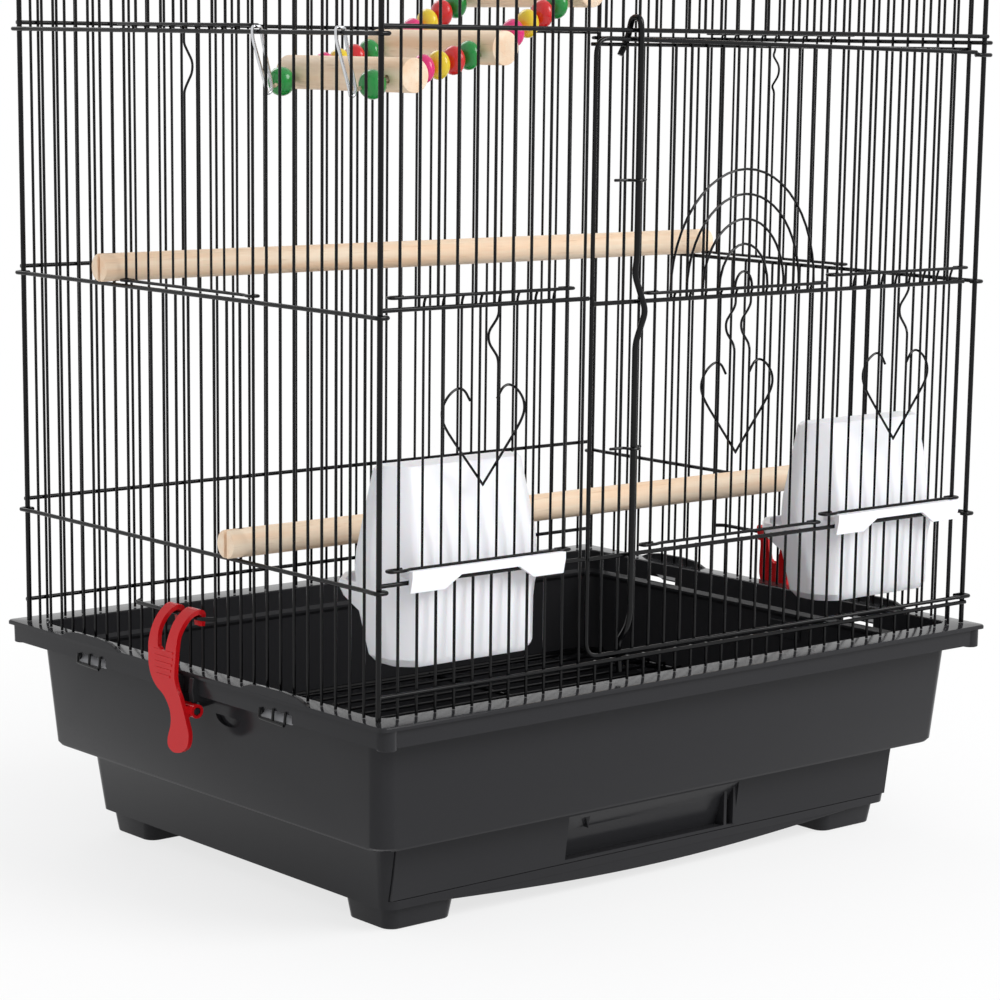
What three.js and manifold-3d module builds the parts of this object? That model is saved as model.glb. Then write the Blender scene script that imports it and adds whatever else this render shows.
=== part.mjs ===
import * as THREE from 'three';
import { mergeVertices, toCreasedNormals } from 'three/addons/utils/BufferGeometryUtils.js';
import Module from 'manifold-3d';

const wasm = await Module();
wasm.setup();

// ---- Driving dimensions, millimetres ------------------------------------
// The drawing frame has its zero at the front left corner wire, on top of the
// base flange: x to the right, y to the back, z up.
const CAGE_WIDTH = 444; // between the planes of the side wires
const CAGE_DEPTH = 336; // between the planes of the front and back wires
const WALL_HEIGHT = 486; // base flange to the eave bar
const LEVEL_FOOT = 13; // heights of the front bars above the flange
const LEVEL_LOW = 70.5;
const LEVEL_MID = 209;
const LEVEL_HIGH = 347.5;
const SIDE_DROP = 3.6; // side bars hook round the corner this far under the front bars
const ROOF_RISE = 190; // eave to ridge
const BASE_HEIGHT = 125; // floor to the top of the base flange
const FOOT_HEIGHT = 13;
const PLINTH_HEIGHT = 38.5; // the stepped-in part that holds the drawer
const FLANGE_REACH = 13.2; // how far the flange stands outside the wires
const UPRIGHT_R = 1.0; // radii of the wires
const BAR_R = 1.3;
const CORNER_R = 1.5;
const DOOR_WIRE_R = 0.8;
const STILE_R = 1.2;
const LATCH_R = 1.7;
const GAP = 0.3; // air between parts that touch
const LEFT_PITCHES = 11; // wire spaces in the narrow bay left of the front door
const DOOR_PITCHES = 26; // wire spaces across the front door
const LEFT_PITCH = 12.3;
const SIDE_PITCHES = 28;
const GRATE_PITCHES = 20;
const GRATE_RIM_R = 2;
const PERCH_R = 7.8;
const RUNG_R = 8.75;
const RUNG_LENGTH = 106;
const RUNG_COUNT = 7;
const DRAWER_TRAY_DEPTH = 266;

// ---- Derived levels and positions ---------------------------------------
const BAR_N = 2.0; // bars lie this far outside the plane of the uprights
const RECESS = 0.35; // a wire that only passes a bar, unwelded, lies this much further off
const LEFT_BAY = LEFT_PITCHES * LEFT_PITCH;
const DOOR_PITCH = (CAGE_WIDTH - LEFT_BAY) / DOOR_PITCHES;
const SIDE_PITCH = CAGE_DEPTH / SIDE_PITCHES;
const DOOR_LEFT = LEFT_BAY + 3.9;
const DOOR_RIGHT = CAGE_WIDTH - 13;
const DOOR_BOTTOM = LEVEL_FOOT + 3.6;
const DOOR_TOP = LEVEL_HIGH - 4.4;
const DOOR_LOW = LEVEL_LOW - 0.5; // bars that belong to the front door
const DOOR_MID = LEVEL_MID - 3;
const INNER_PITCH = (DOOR_RIGHT - DOOR_LEFT) / 25;
const FEED_DOOR_LEFT = [LEFT_PITCH, 10 * LEFT_PITCH];
const ARCH_DOOR = [DOOR_LEFT + 4 * INNER_PITCH, DOOR_LEFT + 15 * INNER_PITCH];
const FEED_DOOR_RIGHT = [DOOR_LEFT + 16 * INNER_PITCH, DOOR_RIGHT];
const SIDE_DOOR_HALF = 5 * SIDE_PITCH;
const LATCH_X = DOOR_LEFT + 2.4 * INNER_PITCH;
const LATCH_N = BAR_N + BAR_R + 0.4 + LATCH_R;
const CLIP_LEVEL = 31; // height of the wire the red clip hooks over
const CLIP_N = 6.2;
const CLIP_Y = 149; // near edge of the clip knuckle
const CLIP_PIN_N = 8.6; // the pin that the clip turns on
const CLIP_PIN_Z = -20;
const CLIP_PIN_R = 1.9;
const SLOPE = Math.atan2(ROOF_RISE, CAGE_DEPTH / 2);

// ---- Materials -----------------------------------------------------------
const finish = (color, roughness, metalness = 0) =>
  new THREE.MeshStandardMaterial({ color, roughness, metalness });
const BLACK_WIRE = finish(0x17181a, 0.3);
const BASE_PLASTIC = finish(0x2b2c2f, 0.45);
const DRAWER_PLASTIC = finish(0x2a2b2e, 0.45);
const WHITE_PLASTIC = finish(0xeeeef2, 0.3);
const RED_PLASTIC = finish(0xc8141e, 0.3);
const PALE_WOOD = finish(0xd9b68c, 0.7);
const BEADS = finish(0x2f9a4d, 0.3);
const STEEL = finish(0xb9bcc0, 0.25, 1);

// ---- Small vector and solid helpers ---------------------------------------
const add = (a, b) => [a[0] + b[0], a[1] + b[1], a[2] + b[2]];
const sub = (a, b) => [a[0] - b[0], a[1] - b[1], a[2] - b[2]];
const scale = (a, k) => [a[0] * k, a[1] * k, a[2] * k];
const dot = (a, b) => a[0] * b[0] + a[1] * b[1] + a[2] * b[2];
const cross = (a, b) => [
  a[1] * b[2] - a[2] * b[1],
  a[2] * b[0] - a[0] * b[2],
  a[0] * b[1] - a[1] * b[0],
];
const unit = (a) => scale(a, 1 / Math.hypot(...a));
const union = (solids) => wasm.Manifold.union(solids);

// Closed solid from rings of equal size; the ends are capped unless it is a loop.
function loft(rings, loop = false) {
  const n = rings[0].length;
  const points = rings.flat();
  const faces = [];
  const last = loop ? rings.length : rings.length - 1;
  for (let k = 0; k < last; k++) {
    const from = k * n;
    const to = ((k + 1) % rings.length) * n;
    for (let i = 0; i < n; i++) {
      const j = (i + 1) % n;
      faces.push([from + i, from + j, to + j], [from + i, to + j, to + i]);
    }
  }
  if (!loop) {
    const end = (rings.length - 1) * n;
    for (let i = 1; i < n - 1; i++) {
      faces.push([0, i + 1, i], [end, end + i, end + i + 1]);
    }
  }
  let volume = 0;
  for (const [a, b, c] of faces) {
    volume += dot(points[a], cross(points[b], points[c]));
  }
  const turned = volume < 0 ? faces.map(([a, b, c]) => [a, c, b]) : faces;
  return new wasm.Manifold(new wasm.Mesh({
    numProp: 3,
    vertProperties: new Float32Array(points.flat()),
    triVerts: new Uint32Array(turned.flat()),
  }));
}

// Wire of radius r along a polyline, mitred at every bend.
function wire(points, r, { sides = 4, loop = false } = {}) {
  const n = points.length;
  const heading = (k) => unit(sub(points[(k + 1) % n], points[k % n]));
  const first = loop ? heading(n - 1) : heading(0);
  const ref = Math.abs(first[2]) < 0.9 ? [0, 0, 1] : [1, 0, 0];
  const a = unit(sub(ref, scale(first, dot(ref, first))));
  const b = cross(first, a);
  let offsets = [];
  for (let i = 0; i < sides; i++) {
    const t = (2 * Math.PI * i) / sides;
    offsets.push(add(scale(a, r * Math.cos(t)), scale(b, r * Math.sin(t))));
  }
  const rings = [];
  for (let k = 0; k < n; k++) {
    const atEnd = !loop && (k === 0 || k === n - 1);
    if (!atEnd) {
      const into = heading((k + n - 1) % n);
      const out = heading(k);
      const mitre = unit(add(into, out));
      offsets = offsets.map((o) => sub(o, scale(into, dot(o, mitre) / dot(into, mitre))));
      rings.push(offsets.map((o) => add(points[k], o)));
      offsets = offsets.map((o) => sub(o, scale(out, dot(o, out))));
    } else {
      rings.push(offsets.map((o) => add(points[k], o)));
    }
  }
  return loft(rings, loop);
}

// Box between two opposite corners.
function box(lo, hi) {
  const ring = (z) => [[lo[0], lo[1], z], [hi[0], lo[1], z], [hi[0], hi[1], z], [lo[0], hi[1], z]];
  return loft([ring(lo[2]), ring(hi[2])]);
}

// Flat outline of [u, v] points pushed from one depth to another; place maps
// (u, v, depth) to the drawing frame.
function prism(outline, from, to, place) {
  const shape = new THREE.Shape(outline.map(([u, v]) => new THREE.Vector2(u, v)));
  const flat = new THREE.ExtrudeGeometry(shape, { depth: to - from, bevelEnabled: false });
  flat.deleteAttribute('normal');
  flat.deleteAttribute('uv');
  const joined = mergeVertices(flat, 1e-4);
  const at = joined.getAttribute('position');
  const points = [];
  for (let i = 0; i < at.count; i++) {
    points.push(place(at.getX(i), at.getY(i), at.getZ(i) + from));
  }
  const build = (order) => {
    const index = Array.from(joined.index.array);
    const tris = [];
    for (let i = 0; i < index.length; i += 3) {
      tris.push(index[i], index[i + order], index[i + 3 - order]);
    }
    return new wasm.Manifold(new wasm.Mesh({
      numProp: 3,
      vertProperties: new Float32Array(points.flat()),
      triVerts: new Uint32Array(tris),
    }));
  };
  const solid = build(1);
  return solid.volume() > 0 ? solid : build(2);
}

// Points of an arc round [u, v], angles in degrees, both ends included.
function arc(u, v, r, from, to, steps) {
  const points = [];
  for (let i = 0; i <= steps; i++) {
    const t = ((from + ((to - from) * i) / steps) * Math.PI) / 180;
    points.push([u + r * Math.cos(t), v + r * Math.sin(t)]);
  }
  return points;
}

// Rounded rectangle at height z, set in from the cage outline by inset.
function plan(inset, z, r, steps = 3) {
  const x0 = inset + r;
  const x1 = CAGE_WIDTH - inset - r;
  const y0 = inset + r;
  const y1 = CAGE_DEPTH - inset - r;
  return [
    ...arc(x1, y0, r, -90, 0, steps),
    ...arc(x1, y1, r, 0, 90, steps),
    ...arc(x0, y1, r, 90, 180, steps),
    ...arc(x0, y0, r, 180, 270, steps),
  ].map(([u, v]) => [u, v, z]);
}

// Each panel is drawn as (s along it, n outwards, z up) and placed on its side.
const FRONT = (s, n, z) => [s, -n, z];
const BACK = (s, n, z) => [s, CAGE_DEPTH + n, z];
const LEFT = (s, n, z) => [-n, s, z];
const RIGHT = (s, n, z) => [CAGE_WIDTH + n, s, z];
const on = (side, points, r, options) => wire(points.map((p) => side(...p)), r, options);

// Box given in panel coordinates of one side.
function sideBox(side, lo, hi) {
  const a = side(...lo);
  const b = side(...hi);
  return box(a.map((v, i) => Math.min(v, b[i])), a.map((v, i) => Math.max(v, b[i])));
}

const group = new THREE.Group();
function part(name, solids, material) {
  const whole = Array.isArray(solids) ? union(solids) : solids;
  const pieces = whole.decompose().length;
  if (pieces !== 1) {
    throw new Error(`${name} is ${pieces} bodies`);
  }
  const moved = whole.translate([-CAGE_WIDTH / 2, -CAGE_DEPTH / 2, BASE_HEIGHT]);
  const { vertProperties, triVerts } = moved.getMesh();
  const geometry = new THREE.BufferGeometry();
  geometry.setAttribute('position', new THREE.BufferAttribute(vertProperties, 3));
  geometry.setIndex(new THREE.BufferAttribute(triVerts, 1));
  const mesh = new THREE.Mesh(toCreasedNormals(geometry, 0.6), material);
  mesh.name = name;
  group.add(mesh);
}

// ---- Base: flange, tub, plinth and feet in one moulding --------------------
const STEP_Z = -(BASE_HEIGHT - FOOT_HEIGHT - PLINTH_HEIGHT);
const PLINTH_Z = -(BASE_HEIGHT - FOOT_HEIGHT);
const FLOOR_Z = PLINTH_Z + 5;
const OPENING_END = 31;
const TUB_INSET = 10.4; // inner wall at the foot of the tub, from the wires
const LEDGE_Z = STEP_Z + 4; // top of the step inside the tub

function foot(x0, x1, y0, y1) {
  const ring = (grow, z) => {
    const c = 7;
    const [a, b, p, q] = [x0 - grow, x1 + grow, y0 - grow, y1 + grow];
    return [
      [a + c, p, z], [b - c, p, z], [b, p + c, z], [b, q - c, z],
      [b - c, q, z], [a + c, q, z], [a, q - c, z], [a, p + c, z],
    ];
  };
  return loft([ring(0, -BASE_HEIGHT), ring(2, PLINTH_Z + 0.5)]);
}

// Raised guard on the side flange over a window, highest beside the wires.
function guard(side, y0, y1) {
  const ring = (a, b, far, z) => [[a, 2.4, z], [b, 2.4, z], [b, far, z], [a, far, z]].map((p) => side(...p));
  return loft([ring(y0, y1, FLANGE_REACH - 1, -0.6), ring(y0 + 13, y1 - 17, 4.4, 4.6)]);
}

function baseTub() {
  const outside = loft([
    plan(29, PLINTH_Z, 8), plan(24, STEP_Z, 10), plan(8, STEP_Z, 12), plan(3.2, -2.5, 10),
    plan(-FLANGE_REACH + 2.5, -2.5, 6), plan(-FLANGE_REACH + 2.3, -11, 6),
    plan(-FLANGE_REACH, -11, 8), plan(-FLANGE_REACH + 0.2, -0.8, 8), plan(-FLANGE_REACH + 1, 0, 8),
  ]);
  const inside = loft([
    plan(5.5, 1, 8), plan(6.1, -12.5, 8), plan(8.4, -14.5, 7), plan(8.4, -16, 7), plan(6.9, -18, 8),
    plan(TUB_INSET, LEDGE_Z, 10), plan(26.5, LEDGE_Z, 8), plan(31.3, FLOOR_Z, 6),
  ]);
  const bow = [];
  for (let i = 0; i <= 8; i++) {
    const t = i / 8;
    bow.push([60 + t * (CAGE_WIDTH - 120), PLINTH_Z - 4 * Math.sin(Math.PI * t) - 0.01]);
  }
  bow.push([CAGE_WIDTH - 60, PLINTH_Z + 1], [60, PLINTH_Z + 1]);
  const railBow = prism(bow, 29.3, 36, (u, v, d) => [u, d, v]);
  const [fx, fy] = [[35, 79], [35, 73]];
  const mirrorX = (r) => [CAGE_WIDTH - r[1], CAGE_WIDTH - r[0]];
  const mirrorY = (r) => [CAGE_DEPTH - r[1], CAGE_DEPTH - r[0]];
  const feet = [fx, mirrorX(fx)].flatMap((x) => [fy, mirrorY(fy)].map((y) => foot(...x, ...y)));
  const lugs = [];
  const cuts = [
    box([OPENING_END, 20, FLOOR_Z], [CAGE_WIDTH - OPENING_END, 33, STEP_Z - 1.5]),
    box([38, 38, PLINTH_Z - 1], [CAGE_WIDTH - 38, CAGE_DEPTH - 38, PLINTH_Z + 2.5]),
  ];
  for (const side of [LEFT, RIGHT]) {
    for (const y of [57, CAGE_DEPTH - 101]) {
      cuts.push(sideBox(side, [y, -8, -12], [y + 29, FLANGE_REACH + 2, -5.5]));
      lugs.push(guard(side, y - 18, y + 48));
    }
    const slot = arc(123, -25, 12, 0, 180, 8).map(([y, z]) => [y, -25 + (z + 25) / 2]);
    cuts.push(prism(slot, -12, 2, (y, z, n) => side(y, n, z)));
    for (const y of [CLIP_Y - 4.3, CLIP_Y + 17]) {
      lugs.push(sideBox(side, [y, -4.6, -25], [y + 4, CLIP_PIN_N + 2.6, -15.5]));
    }
    const pin = [[CLIP_Y - 2, CLIP_PIN_N, CLIP_PIN_Z], [CLIP_Y + 19, CLIP_PIN_N, CLIP_PIN_Z]];
    lugs.push(on(side, pin, CLIP_PIN_R, { sides: 8 }));
  }
  return union([outside.subtract(inside), railBow, ...feet, ...lugs]).subtract(union(cuts));
}

part('base_tub', baseTub(), BASE_PLASTIC);

// ---- Drawer ----------------------------------------------------------------
function drawer() {
  const x0 = 34;
  const x1 = CAGE_WIDTH - x0;
  const yBack = 34 + DRAWER_TRAY_DEPTH;
  const z0 = FLOOR_Z + 0.35;
  const z1 = z0 + 27;
  const hollow = box([x0 + 2, 35, z0 + 2], [x1 - 2, yBack - 2, z1 + 1]);
  const tray = box([x0, 32, z0], [x1, yBack, z1]).subtract(hollow);
  const top = STEP_Z - 1.9;
  const slant = 5 / PLINTH_HEIGHT;
  const face = (z, grow) => 24 + (STEP_Z - z) * slant + grow;
  const section = [
    [face(z0, 0.2), z0], [face(top, 0.2), top], [face(top, 3.2), top], [32.6, z1], [32.6, z0],
  ];
  const front = prism(section, OPENING_END + 0.5, CAGE_WIDTH - OPENING_END - 0.5, (u, v, d) => [d, u, v]);
  const g0 = CAGE_WIDTH / 2 - 71;
  const g1 = g0 + 125;
  const housing = box([g0 - 2, 32, z0], [g1 + 2, 44, z1 - 2]);
  const grip = box([g0, 20, z0 + 2], [g1, 42, z1 - 4]);
  return union([tray, front, housing]).subtract(grip);
}
part('drawer', drawer(), DRAWER_PLASTIC);

// ---- Grate on the tub's inner step, over the drawer ---------------------------
function grate() {
  const edge = TUB_INSET + GRATE_RIM_R + 0.6;
  const frameZ = LEDGE_Z + GAP + GRATE_RIM_R;
  const wireZ = frameZ + GRATE_RIM_R + 0.7;
  const x1 = CAGE_WIDTH - edge;
  const y1 = CAGE_DEPTH - edge;
  const c = edge + 7;
  const frame = wire([
    [c, edge], [CAGE_WIDTH - c, edge], [x1, c], [x1, CAGE_DEPTH - c],
    [CAGE_WIDTH - c, y1], [c, y1], [edge, CAGE_DEPTH - c], [edge, c],
  ].map(([x, y]) => [x, y, frameZ]), GRATE_RIM_R, { loop: true });
  const solids = [frame];
  const pitch = (CAGE_DEPTH - 2 * edge) / GRATE_PITCHES;
  for (let i = 1; i < GRATE_PITCHES; i++) {
    const y = edge + i * pitch;
    solids.push(wire([[edge - 0.2, y, wireZ], [x1 + 0.2, y, wireZ]], 1));
  }
  for (const k of [1 / 3, 2 / 3]) {
    const x = edge + k * (x1 - edge);
    solids.push(wire([[x, edge, frameZ - RECESS], [x, y1, frameZ - RECESS]], 1.2));
  }
  return solids;
}
part('grate', grate(), BLACK_WIRE);

// ---- Wire panels -------------------------------------------------------------
const FOOT_Z = GAP; // the wires stand on the flange

const upright = (side, s, from, to, n = 0, r = UPRIGHT_R) => on(side, [[s, n, from], [s, n, to]], r);
const bar = (side, s0, s1, z, n = BAR_N, r = BAR_R) => on(side, [[s0, n, z], [s1, n, z]], r);

const frontX = (i) =>
  (i <= LEFT_PITCHES ? i * LEFT_PITCH : LEFT_BAY + (i - LEFT_PITCHES) * DOOR_PITCH);
const FRONT_WIRES = LEFT_PITCHES + DOOR_PITCHES;

function frontPanel() {
  const solids = [];
  for (const z of [LEVEL_FOOT, LEVEL_HIGH, WALL_HEIGHT]) {
    solids.push(bar(FRONT, -0.5, CAGE_WIDTH + 0.5, z));
  }
  for (const z of [LEVEL_LOW, LEVEL_MID]) {
    solids.push(bar(FRONT, -0.5, LEFT_BAY + 1, z));
  }
  for (let i = 0; i <= FRONT_WIRES; i++) {
    const x = frontX(i);
    const corner = i === 0 || i === FRONT_WIRES;
    const r = corner ? CORNER_R : UPRIGHT_R;
    if (corner || i === 1 || i === LEFT_PITCHES - 1 || i === LEFT_PITCHES) {
      solids.push(upright(FRONT, x, FOOT_Z, WALL_HEIGHT + 0.3, 0, r));
    } else if (i < LEFT_PITCHES) {
      solids.push(upright(FRONT, x, FOOT_Z, LEVEL_LOW + 0.4));
      solids.push(upright(FRONT, x, LEVEL_MID - 0.4, WALL_HEIGHT + 0.3));
    } else {
      solids.push(upright(FRONT, x, FOOT_Z, LEVEL_FOOT + 0.4));
      solids.push(upright(FRONT, x, LEVEL_HIGH - 0.4, WALL_HEIGHT + 0.3));
    }
  }
  return solids;
}

function backPanel() {
  const solids = [];
  solids.push(bar(BACK, -0.5, CAGE_WIDTH + 0.5, WALL_HEIGHT));
  for (const z of [LEVEL_FOOT, LEVEL_LOW + 2.5, LEVEL_MID, LEVEL_HIGH]) {
    solids.push(bar(BACK, -0.5, CAGE_WIDTH + 0.5, z, BAR_N + RECESS));
  }
  for (let i = 0; i <= FRONT_WIRES; i++) {
    const corner = i === 0 || i === FRONT_WIRES;
    const welded = i % 6 === 2;
    const [n, r] = corner ? [0, CORNER_R] : [welded ? RECESS : 0, UPRIGHT_R];
    solids.push(upright(BACK, frontX(i), FOOT_Z, WALL_HEIGHT + 0.3, n, r));
  }
  return solids;
}

part('front_panel', frontPanel(), BLACK_WIRE);
part('back_panel', backPanel(), BLACK_WIRE);

const ROOF_START = WALL_HEIGHT + 3.2; // height of the roof wires above the front wires
const slopeZ = (y, lower = 0) =>
  ROOF_START + Math.min(y, CAGE_DEPTH - y) * Math.tan(SLOPE) - lower / Math.cos(SLOPE);
const SLOPE_DROP = UPRIGHT_R + BAR_R + 0.4;

// A side bar hooks round both corner wires and comes back behind them.
function hookedBar(side, z) {
  const d = CAGE_DEPTH;
  const h = CORNER_R + BAR_R + 0.5;
  const n = BAR_N + RECESS;
  return on(side, [
    [0.5, -h, z], [-h, -h, z], [-h, h + 0.3, z], [10, n, z],
    [d - 10, n, z], [d + h, h + 0.3, z], [d + h, -h, z], [d - 0.5, -h, z],
  ], BAR_R);
}

function sidePanel(side) {
  const middle = CAGE_DEPTH / 2;
  const levels = [LEVEL_LOW, LEVEL_MID, LEVEL_HIGH, WALL_HEIGHT].map((z) => z - SIDE_DROP);
  const solids = levels.map((z) => hookedBar(side, z));
  for (let j = 1; j < SIDE_PITCHES; j++) {
    const y = j * SIDE_PITCH;
    const inDoor = Math.abs(y - middle) < SIDE_DOOR_HALF - 1;
    const n = inDoor || j % 8 === 3 ? RECESS : 0;
    const top = slopeZ(y, SLOPE_DROP);
    if (inDoor) {
      solids.push(upright(side, y, FOOT_Z, levels[1] + 0.4, n));
      solids.push(upright(side, y, levels[2] - 0.4, top, n));
    } else {
      solids.push(upright(side, y, FOOT_Z, top, n));
    }
  }
  const start = SIDE_PITCH - 1.5;
  solids.push(on(side, [
    [start, BAR_N, slopeZ(start, SLOPE_DROP)], [middle, BAR_N, slopeZ(middle, SLOPE_DROP)],
    [CAGE_DEPTH - start, BAR_N, slopeZ(start, SLOPE_DROP)],
  ], BAR_R));
  const c0 = 12 * SIDE_PITCH;
  const c1 = 18 * SIDE_PITCH;
  solids.push(on(side, [
    [c0, 0.4, CLIP_LEVEL], [c0 + 4, CLIP_N, CLIP_LEVEL], [c1 - 4, CLIP_N, CLIP_LEVEL], [c1, 0.4, CLIP_LEVEL],
  ], 1.2));
  return solids;
}
part('left_panel', sidePanel(LEFT), BLACK_WIRE);
part('right_panel', sidePanel(RIGHT), BLACK_WIRE);

// ---- Roof ----------------------------------------------------------------------
const RIDGE_Z = slopeZ(CAGE_DEPTH / 2) + UPRIGHT_R / Math.cos(SLOPE) + BAR_R - 0.5;

function roofPanel() {
  const solids = [
    bar(FRONT, -0.5, CAGE_WIDTH + 0.5, WALL_HEIGHT + 2 * BAR_R + GAP),
    bar(BACK, -0.5, CAGE_WIDTH + 0.5, WALL_HEIGHT + 2 * BAR_R + GAP),
    wire([[-0.5, CAGE_DEPTH / 2, RIDGE_Z], [CAGE_WIDTH + 0.5, CAGE_DEPTH / 2, RIDGE_Z]], BAR_R),
  ];
  const back = 1.2; // the wires run this far past the eave, down the slope
  const y0 = -back * Math.cos(SLOPE);
  const z0 = ROOF_START - back * Math.sin(SLOPE);
  for (let i = 0; i <= FRONT_WIRES; i++) {
    const x = frontX(i);
    const fold = slopeZ(CAGE_DEPTH / 2) - (i % 4 === 1 ? 0 : 1.5 * RECESS);
    solids.push(wire([[x, y0, z0], [x, CAGE_DEPTH / 2, fold], [x, CAGE_DEPTH - y0, z0]], UPRIGHT_R));
  }
  return solids;
}
part('roof_panel', roofPanel(), BLACK_WIRE);

// Carrying ring: a bent wire whose eyes turn on the ridge bar.
function carryRing() {
  const r = 1.6;
  const e = BAR_R + 0.35 + r;
  const y = CAGE_DEPTH / 2;
  const first = Math.round((CAGE_WIDTH / 2 - 42 - LEFT_BAY) / DOOR_PITCH);
  const xa = LEFT_BAY + (first + 0.5) * DOOR_PITCH;
  const xb = xa + 7 * DOOR_PITCH;
  const top = RIDGE_Z + 42;
  const eye = (x) => [
    [x, y + 0.6, RIDGE_Z - e], [x, y + e, RIDGE_Z - e], [x, y + e, RIDGE_Z + e], [x, y, RIDGE_Z + e + 5],
  ];
  const back = (x) => [[x, y - 0.6, RIDGE_Z - e], [x, y - e, RIDGE_Z - e], [x, y - e, RIDGE_Z + e], [x, y, RIDGE_Z + e + 5]];
  return [
    wire([...eye(xa), [xa, y, top - 12], [xa + 12, y, top], [xb - 12, y, top], [xb, y, top - 12], ...eye(xb).reverse()], r),
    wire(back(xa), r),
    wire(back(xb), r),
  ];
}
part('carry_ring', carryRing(), BLACK_WIRE);

// ---- Front door -----------------------------------------------------------------
const innerX = (k) => DOOR_LEFT + k * INNER_PITCH;
const INNER_TOP = DOOR_TOP - 3;

function frontDoor() {
  const h = CORNER_R + STILE_R + 0.5;
  const w = CAGE_WIDTH;
  const n = 1.5;
  const hook = (z) => [[w - 9, n, z], [w - 7, h, z], [w + h, h, z], [w + h, -h, z], [w - h - 0.5, -h, z]];
  const c = 7;
  const loopTop = INNER_TOP - 3.2;
  const outline = [
    ...hook(DOOR_BOTTOM).reverse(),
    [DOOR_LEFT + c, n, DOOR_BOTTOM], [DOOR_LEFT + 2, n, DOOR_BOTTOM + 2], [DOOR_LEFT, n, DOOR_BOTTOM + c],
    [DOOR_LEFT, n, DOOR_TOP - c], [DOOR_LEFT + 2, n, DOOR_TOP - 2], [DOOR_LEFT + c, n, DOOR_TOP],
    [DOOR_RIGHT - 3, n, DOOR_TOP], [DOOR_RIGHT + 1, n, DOOR_TOP - 2], [DOOR_RIGHT + 4, n, loopTop + 0.5],
    ...hook(loopTop).slice(1),
  ];
  const solids = [
    on(FRONT, outline, STILE_R),
    upright(FRONT, DOOR_RIGHT, DOOR_BOTTOM - 0.8, DOOR_TOP + 0.5, 0, STILE_R),
    bar(FRONT, DOOR_LEFT - 0.3, DOOR_RIGHT + 0.5, INNER_TOP, -1.5, 1),
    bar(FRONT, DOOR_LEFT - 0.3, DOOR_RIGHT + 0.5, DOOR_LOW),
    bar(FRONT, DOOR_LEFT - 0.3, DOOR_RIGHT + 0.5, DOOR_MID),
  ];
  for (let k = 1; k <= 24; k++) {
    const x = innerX(k);
    const inArch = k > 4 && k < 15;
    const inFeed = k > 16;
    if (inArch || inFeed) {
      solids.push(upright(FRONT, x, DOOR_BOTTOM - 0.4, DOOR_LOW + 0.4));
      solids.push(upright(FRONT, x, DOOR_MID - 0.4, INNER_TOP + 0.4));
    } else {
      solids.push(upright(FRONT, x, DOOR_BOTTOM - 0.4, INNER_TOP + 0.4));
    }
  }
  for (const z of [LEVEL_MID + 61, LEVEL_LOW + 57.5]) {
    const out = LATCH_N + LATCH_R + 1.2;
    solids.push(on(FRONT, [
      [innerX(2) - 3, 1.4, z], [LATCH_X - LATCH_R - 1.6, 1.4, z], [LATCH_X - LATCH_R - 1.2, out, z],
      [LATCH_X + LATCH_R + 1.2, out, z], [LATCH_X + LATCH_R + 1.6, 1.4, z], [innerX(3) + 2, 1.4, z],
    ], 0.8));
  }
  return solids;
}
part('front_door', frontDoor(), BLACK_WIRE);

// Latch rod: slides in two keepers, hooks over the high bar and behind the foot bar.
function latchRod() {
  const x = LATCH_X;
  const n = LATCH_N;
  const inside = 2.4;
  return on(FRONT, [
    [x + 4, -6, LEVEL_HIGH - 12], [x, -5, LEVEL_HIGH - 2], [x, -2, LEVEL_HIGH + 6.6],
    [x, n - 2, LEVEL_HIGH + 6.6], [x, n, LEVEL_HIGH + 3.5],
    [x, n, LEVEL_MID + 20], [x - 1, n, LEVEL_MID + 12], [x + 7, n, LEVEL_MID - 8], [x, n, LEVEL_MID - 25],
    [x, n, DOOR_BOTTOM + 21], [x - 1, n - 1, DOOR_BOTTOM + 14], [x - 1, -inside, DOOR_BOTTOM + 5],
    [x, -inside, LEVEL_FOOT - 8],
  ], LATCH_R);
}
part('latch_rod', latchRod(), BLACK_WIRE);

// ---- Sliding doors -------------------------------------------------------------
// Uprights pass behind the fixed bars and lean forward at the top to meet the
// door's own top bar; both bars end in flat eyes round the guide wires.
const DOOR_N = -0.4;
function slidingDoor(side, spec) {
  const { guides: [g0, g1], guideR, left, right, uprights, top, bottom, bend, kinks = {} } = spec;
  const r = 0.9;
  const eye = guideR + 0.4 + r;
  const e0 = g0 - left;
  const e1 = g1 + right;
  const mid = DOOR_N + DOOR_WIRE_R + r - 0.5;
  const solids = [
    on(side, [
      [g0 + 4, -eye, top], [e0, -eye, top], [e0, eye, top],
      [e1, eye, top], [e1, -eye, top], [g1 - 3.5, -eye, top],
    ], r),
    on(side, [
      [g0 + 4, -eye, bottom], [e0, -eye, bottom], [e0, eye, bottom],
      [g0 + 3, eye, bottom], [g0 + 6, mid, bottom], [g1 - 6, mid, bottom], [g1 - 3, eye, bottom],
      [e1, eye, bottom], [e1, -eye, bottom], [g1 - 3.5, -eye, bottom],
    ], r),
  ];
  uprights.forEach((s, k) => {
    const kinked = (kinks[k] || []).map(([ds, n, z]) => [s + ds, n, z]);
    solids.push(on(side, [
      [s, DOOR_N, bottom - 0.4], ...kinked, [s, DOOR_N, bend], [s, eye - 0.8, top + 0.3],
    ], DOOR_WIRE_R));
  });
  return solids;
}

// Finger kink in one upright below the top bar. It bends inwards first, so it
// slides up behind the fixed uprights.
const KINK_N = -UPRIGHT_R - DOOR_WIRE_R - 0.2;
const kink = (top) => [
  [0, DOOR_N, top - 36], [0.5, KINK_N, top - 33], [-5.2, KINK_N, top - 26],
  [-5.6, KINK_N, top - 20.5], [0, KINK_N, top - 14], [0, DOOR_N, top - 11],
];

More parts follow.
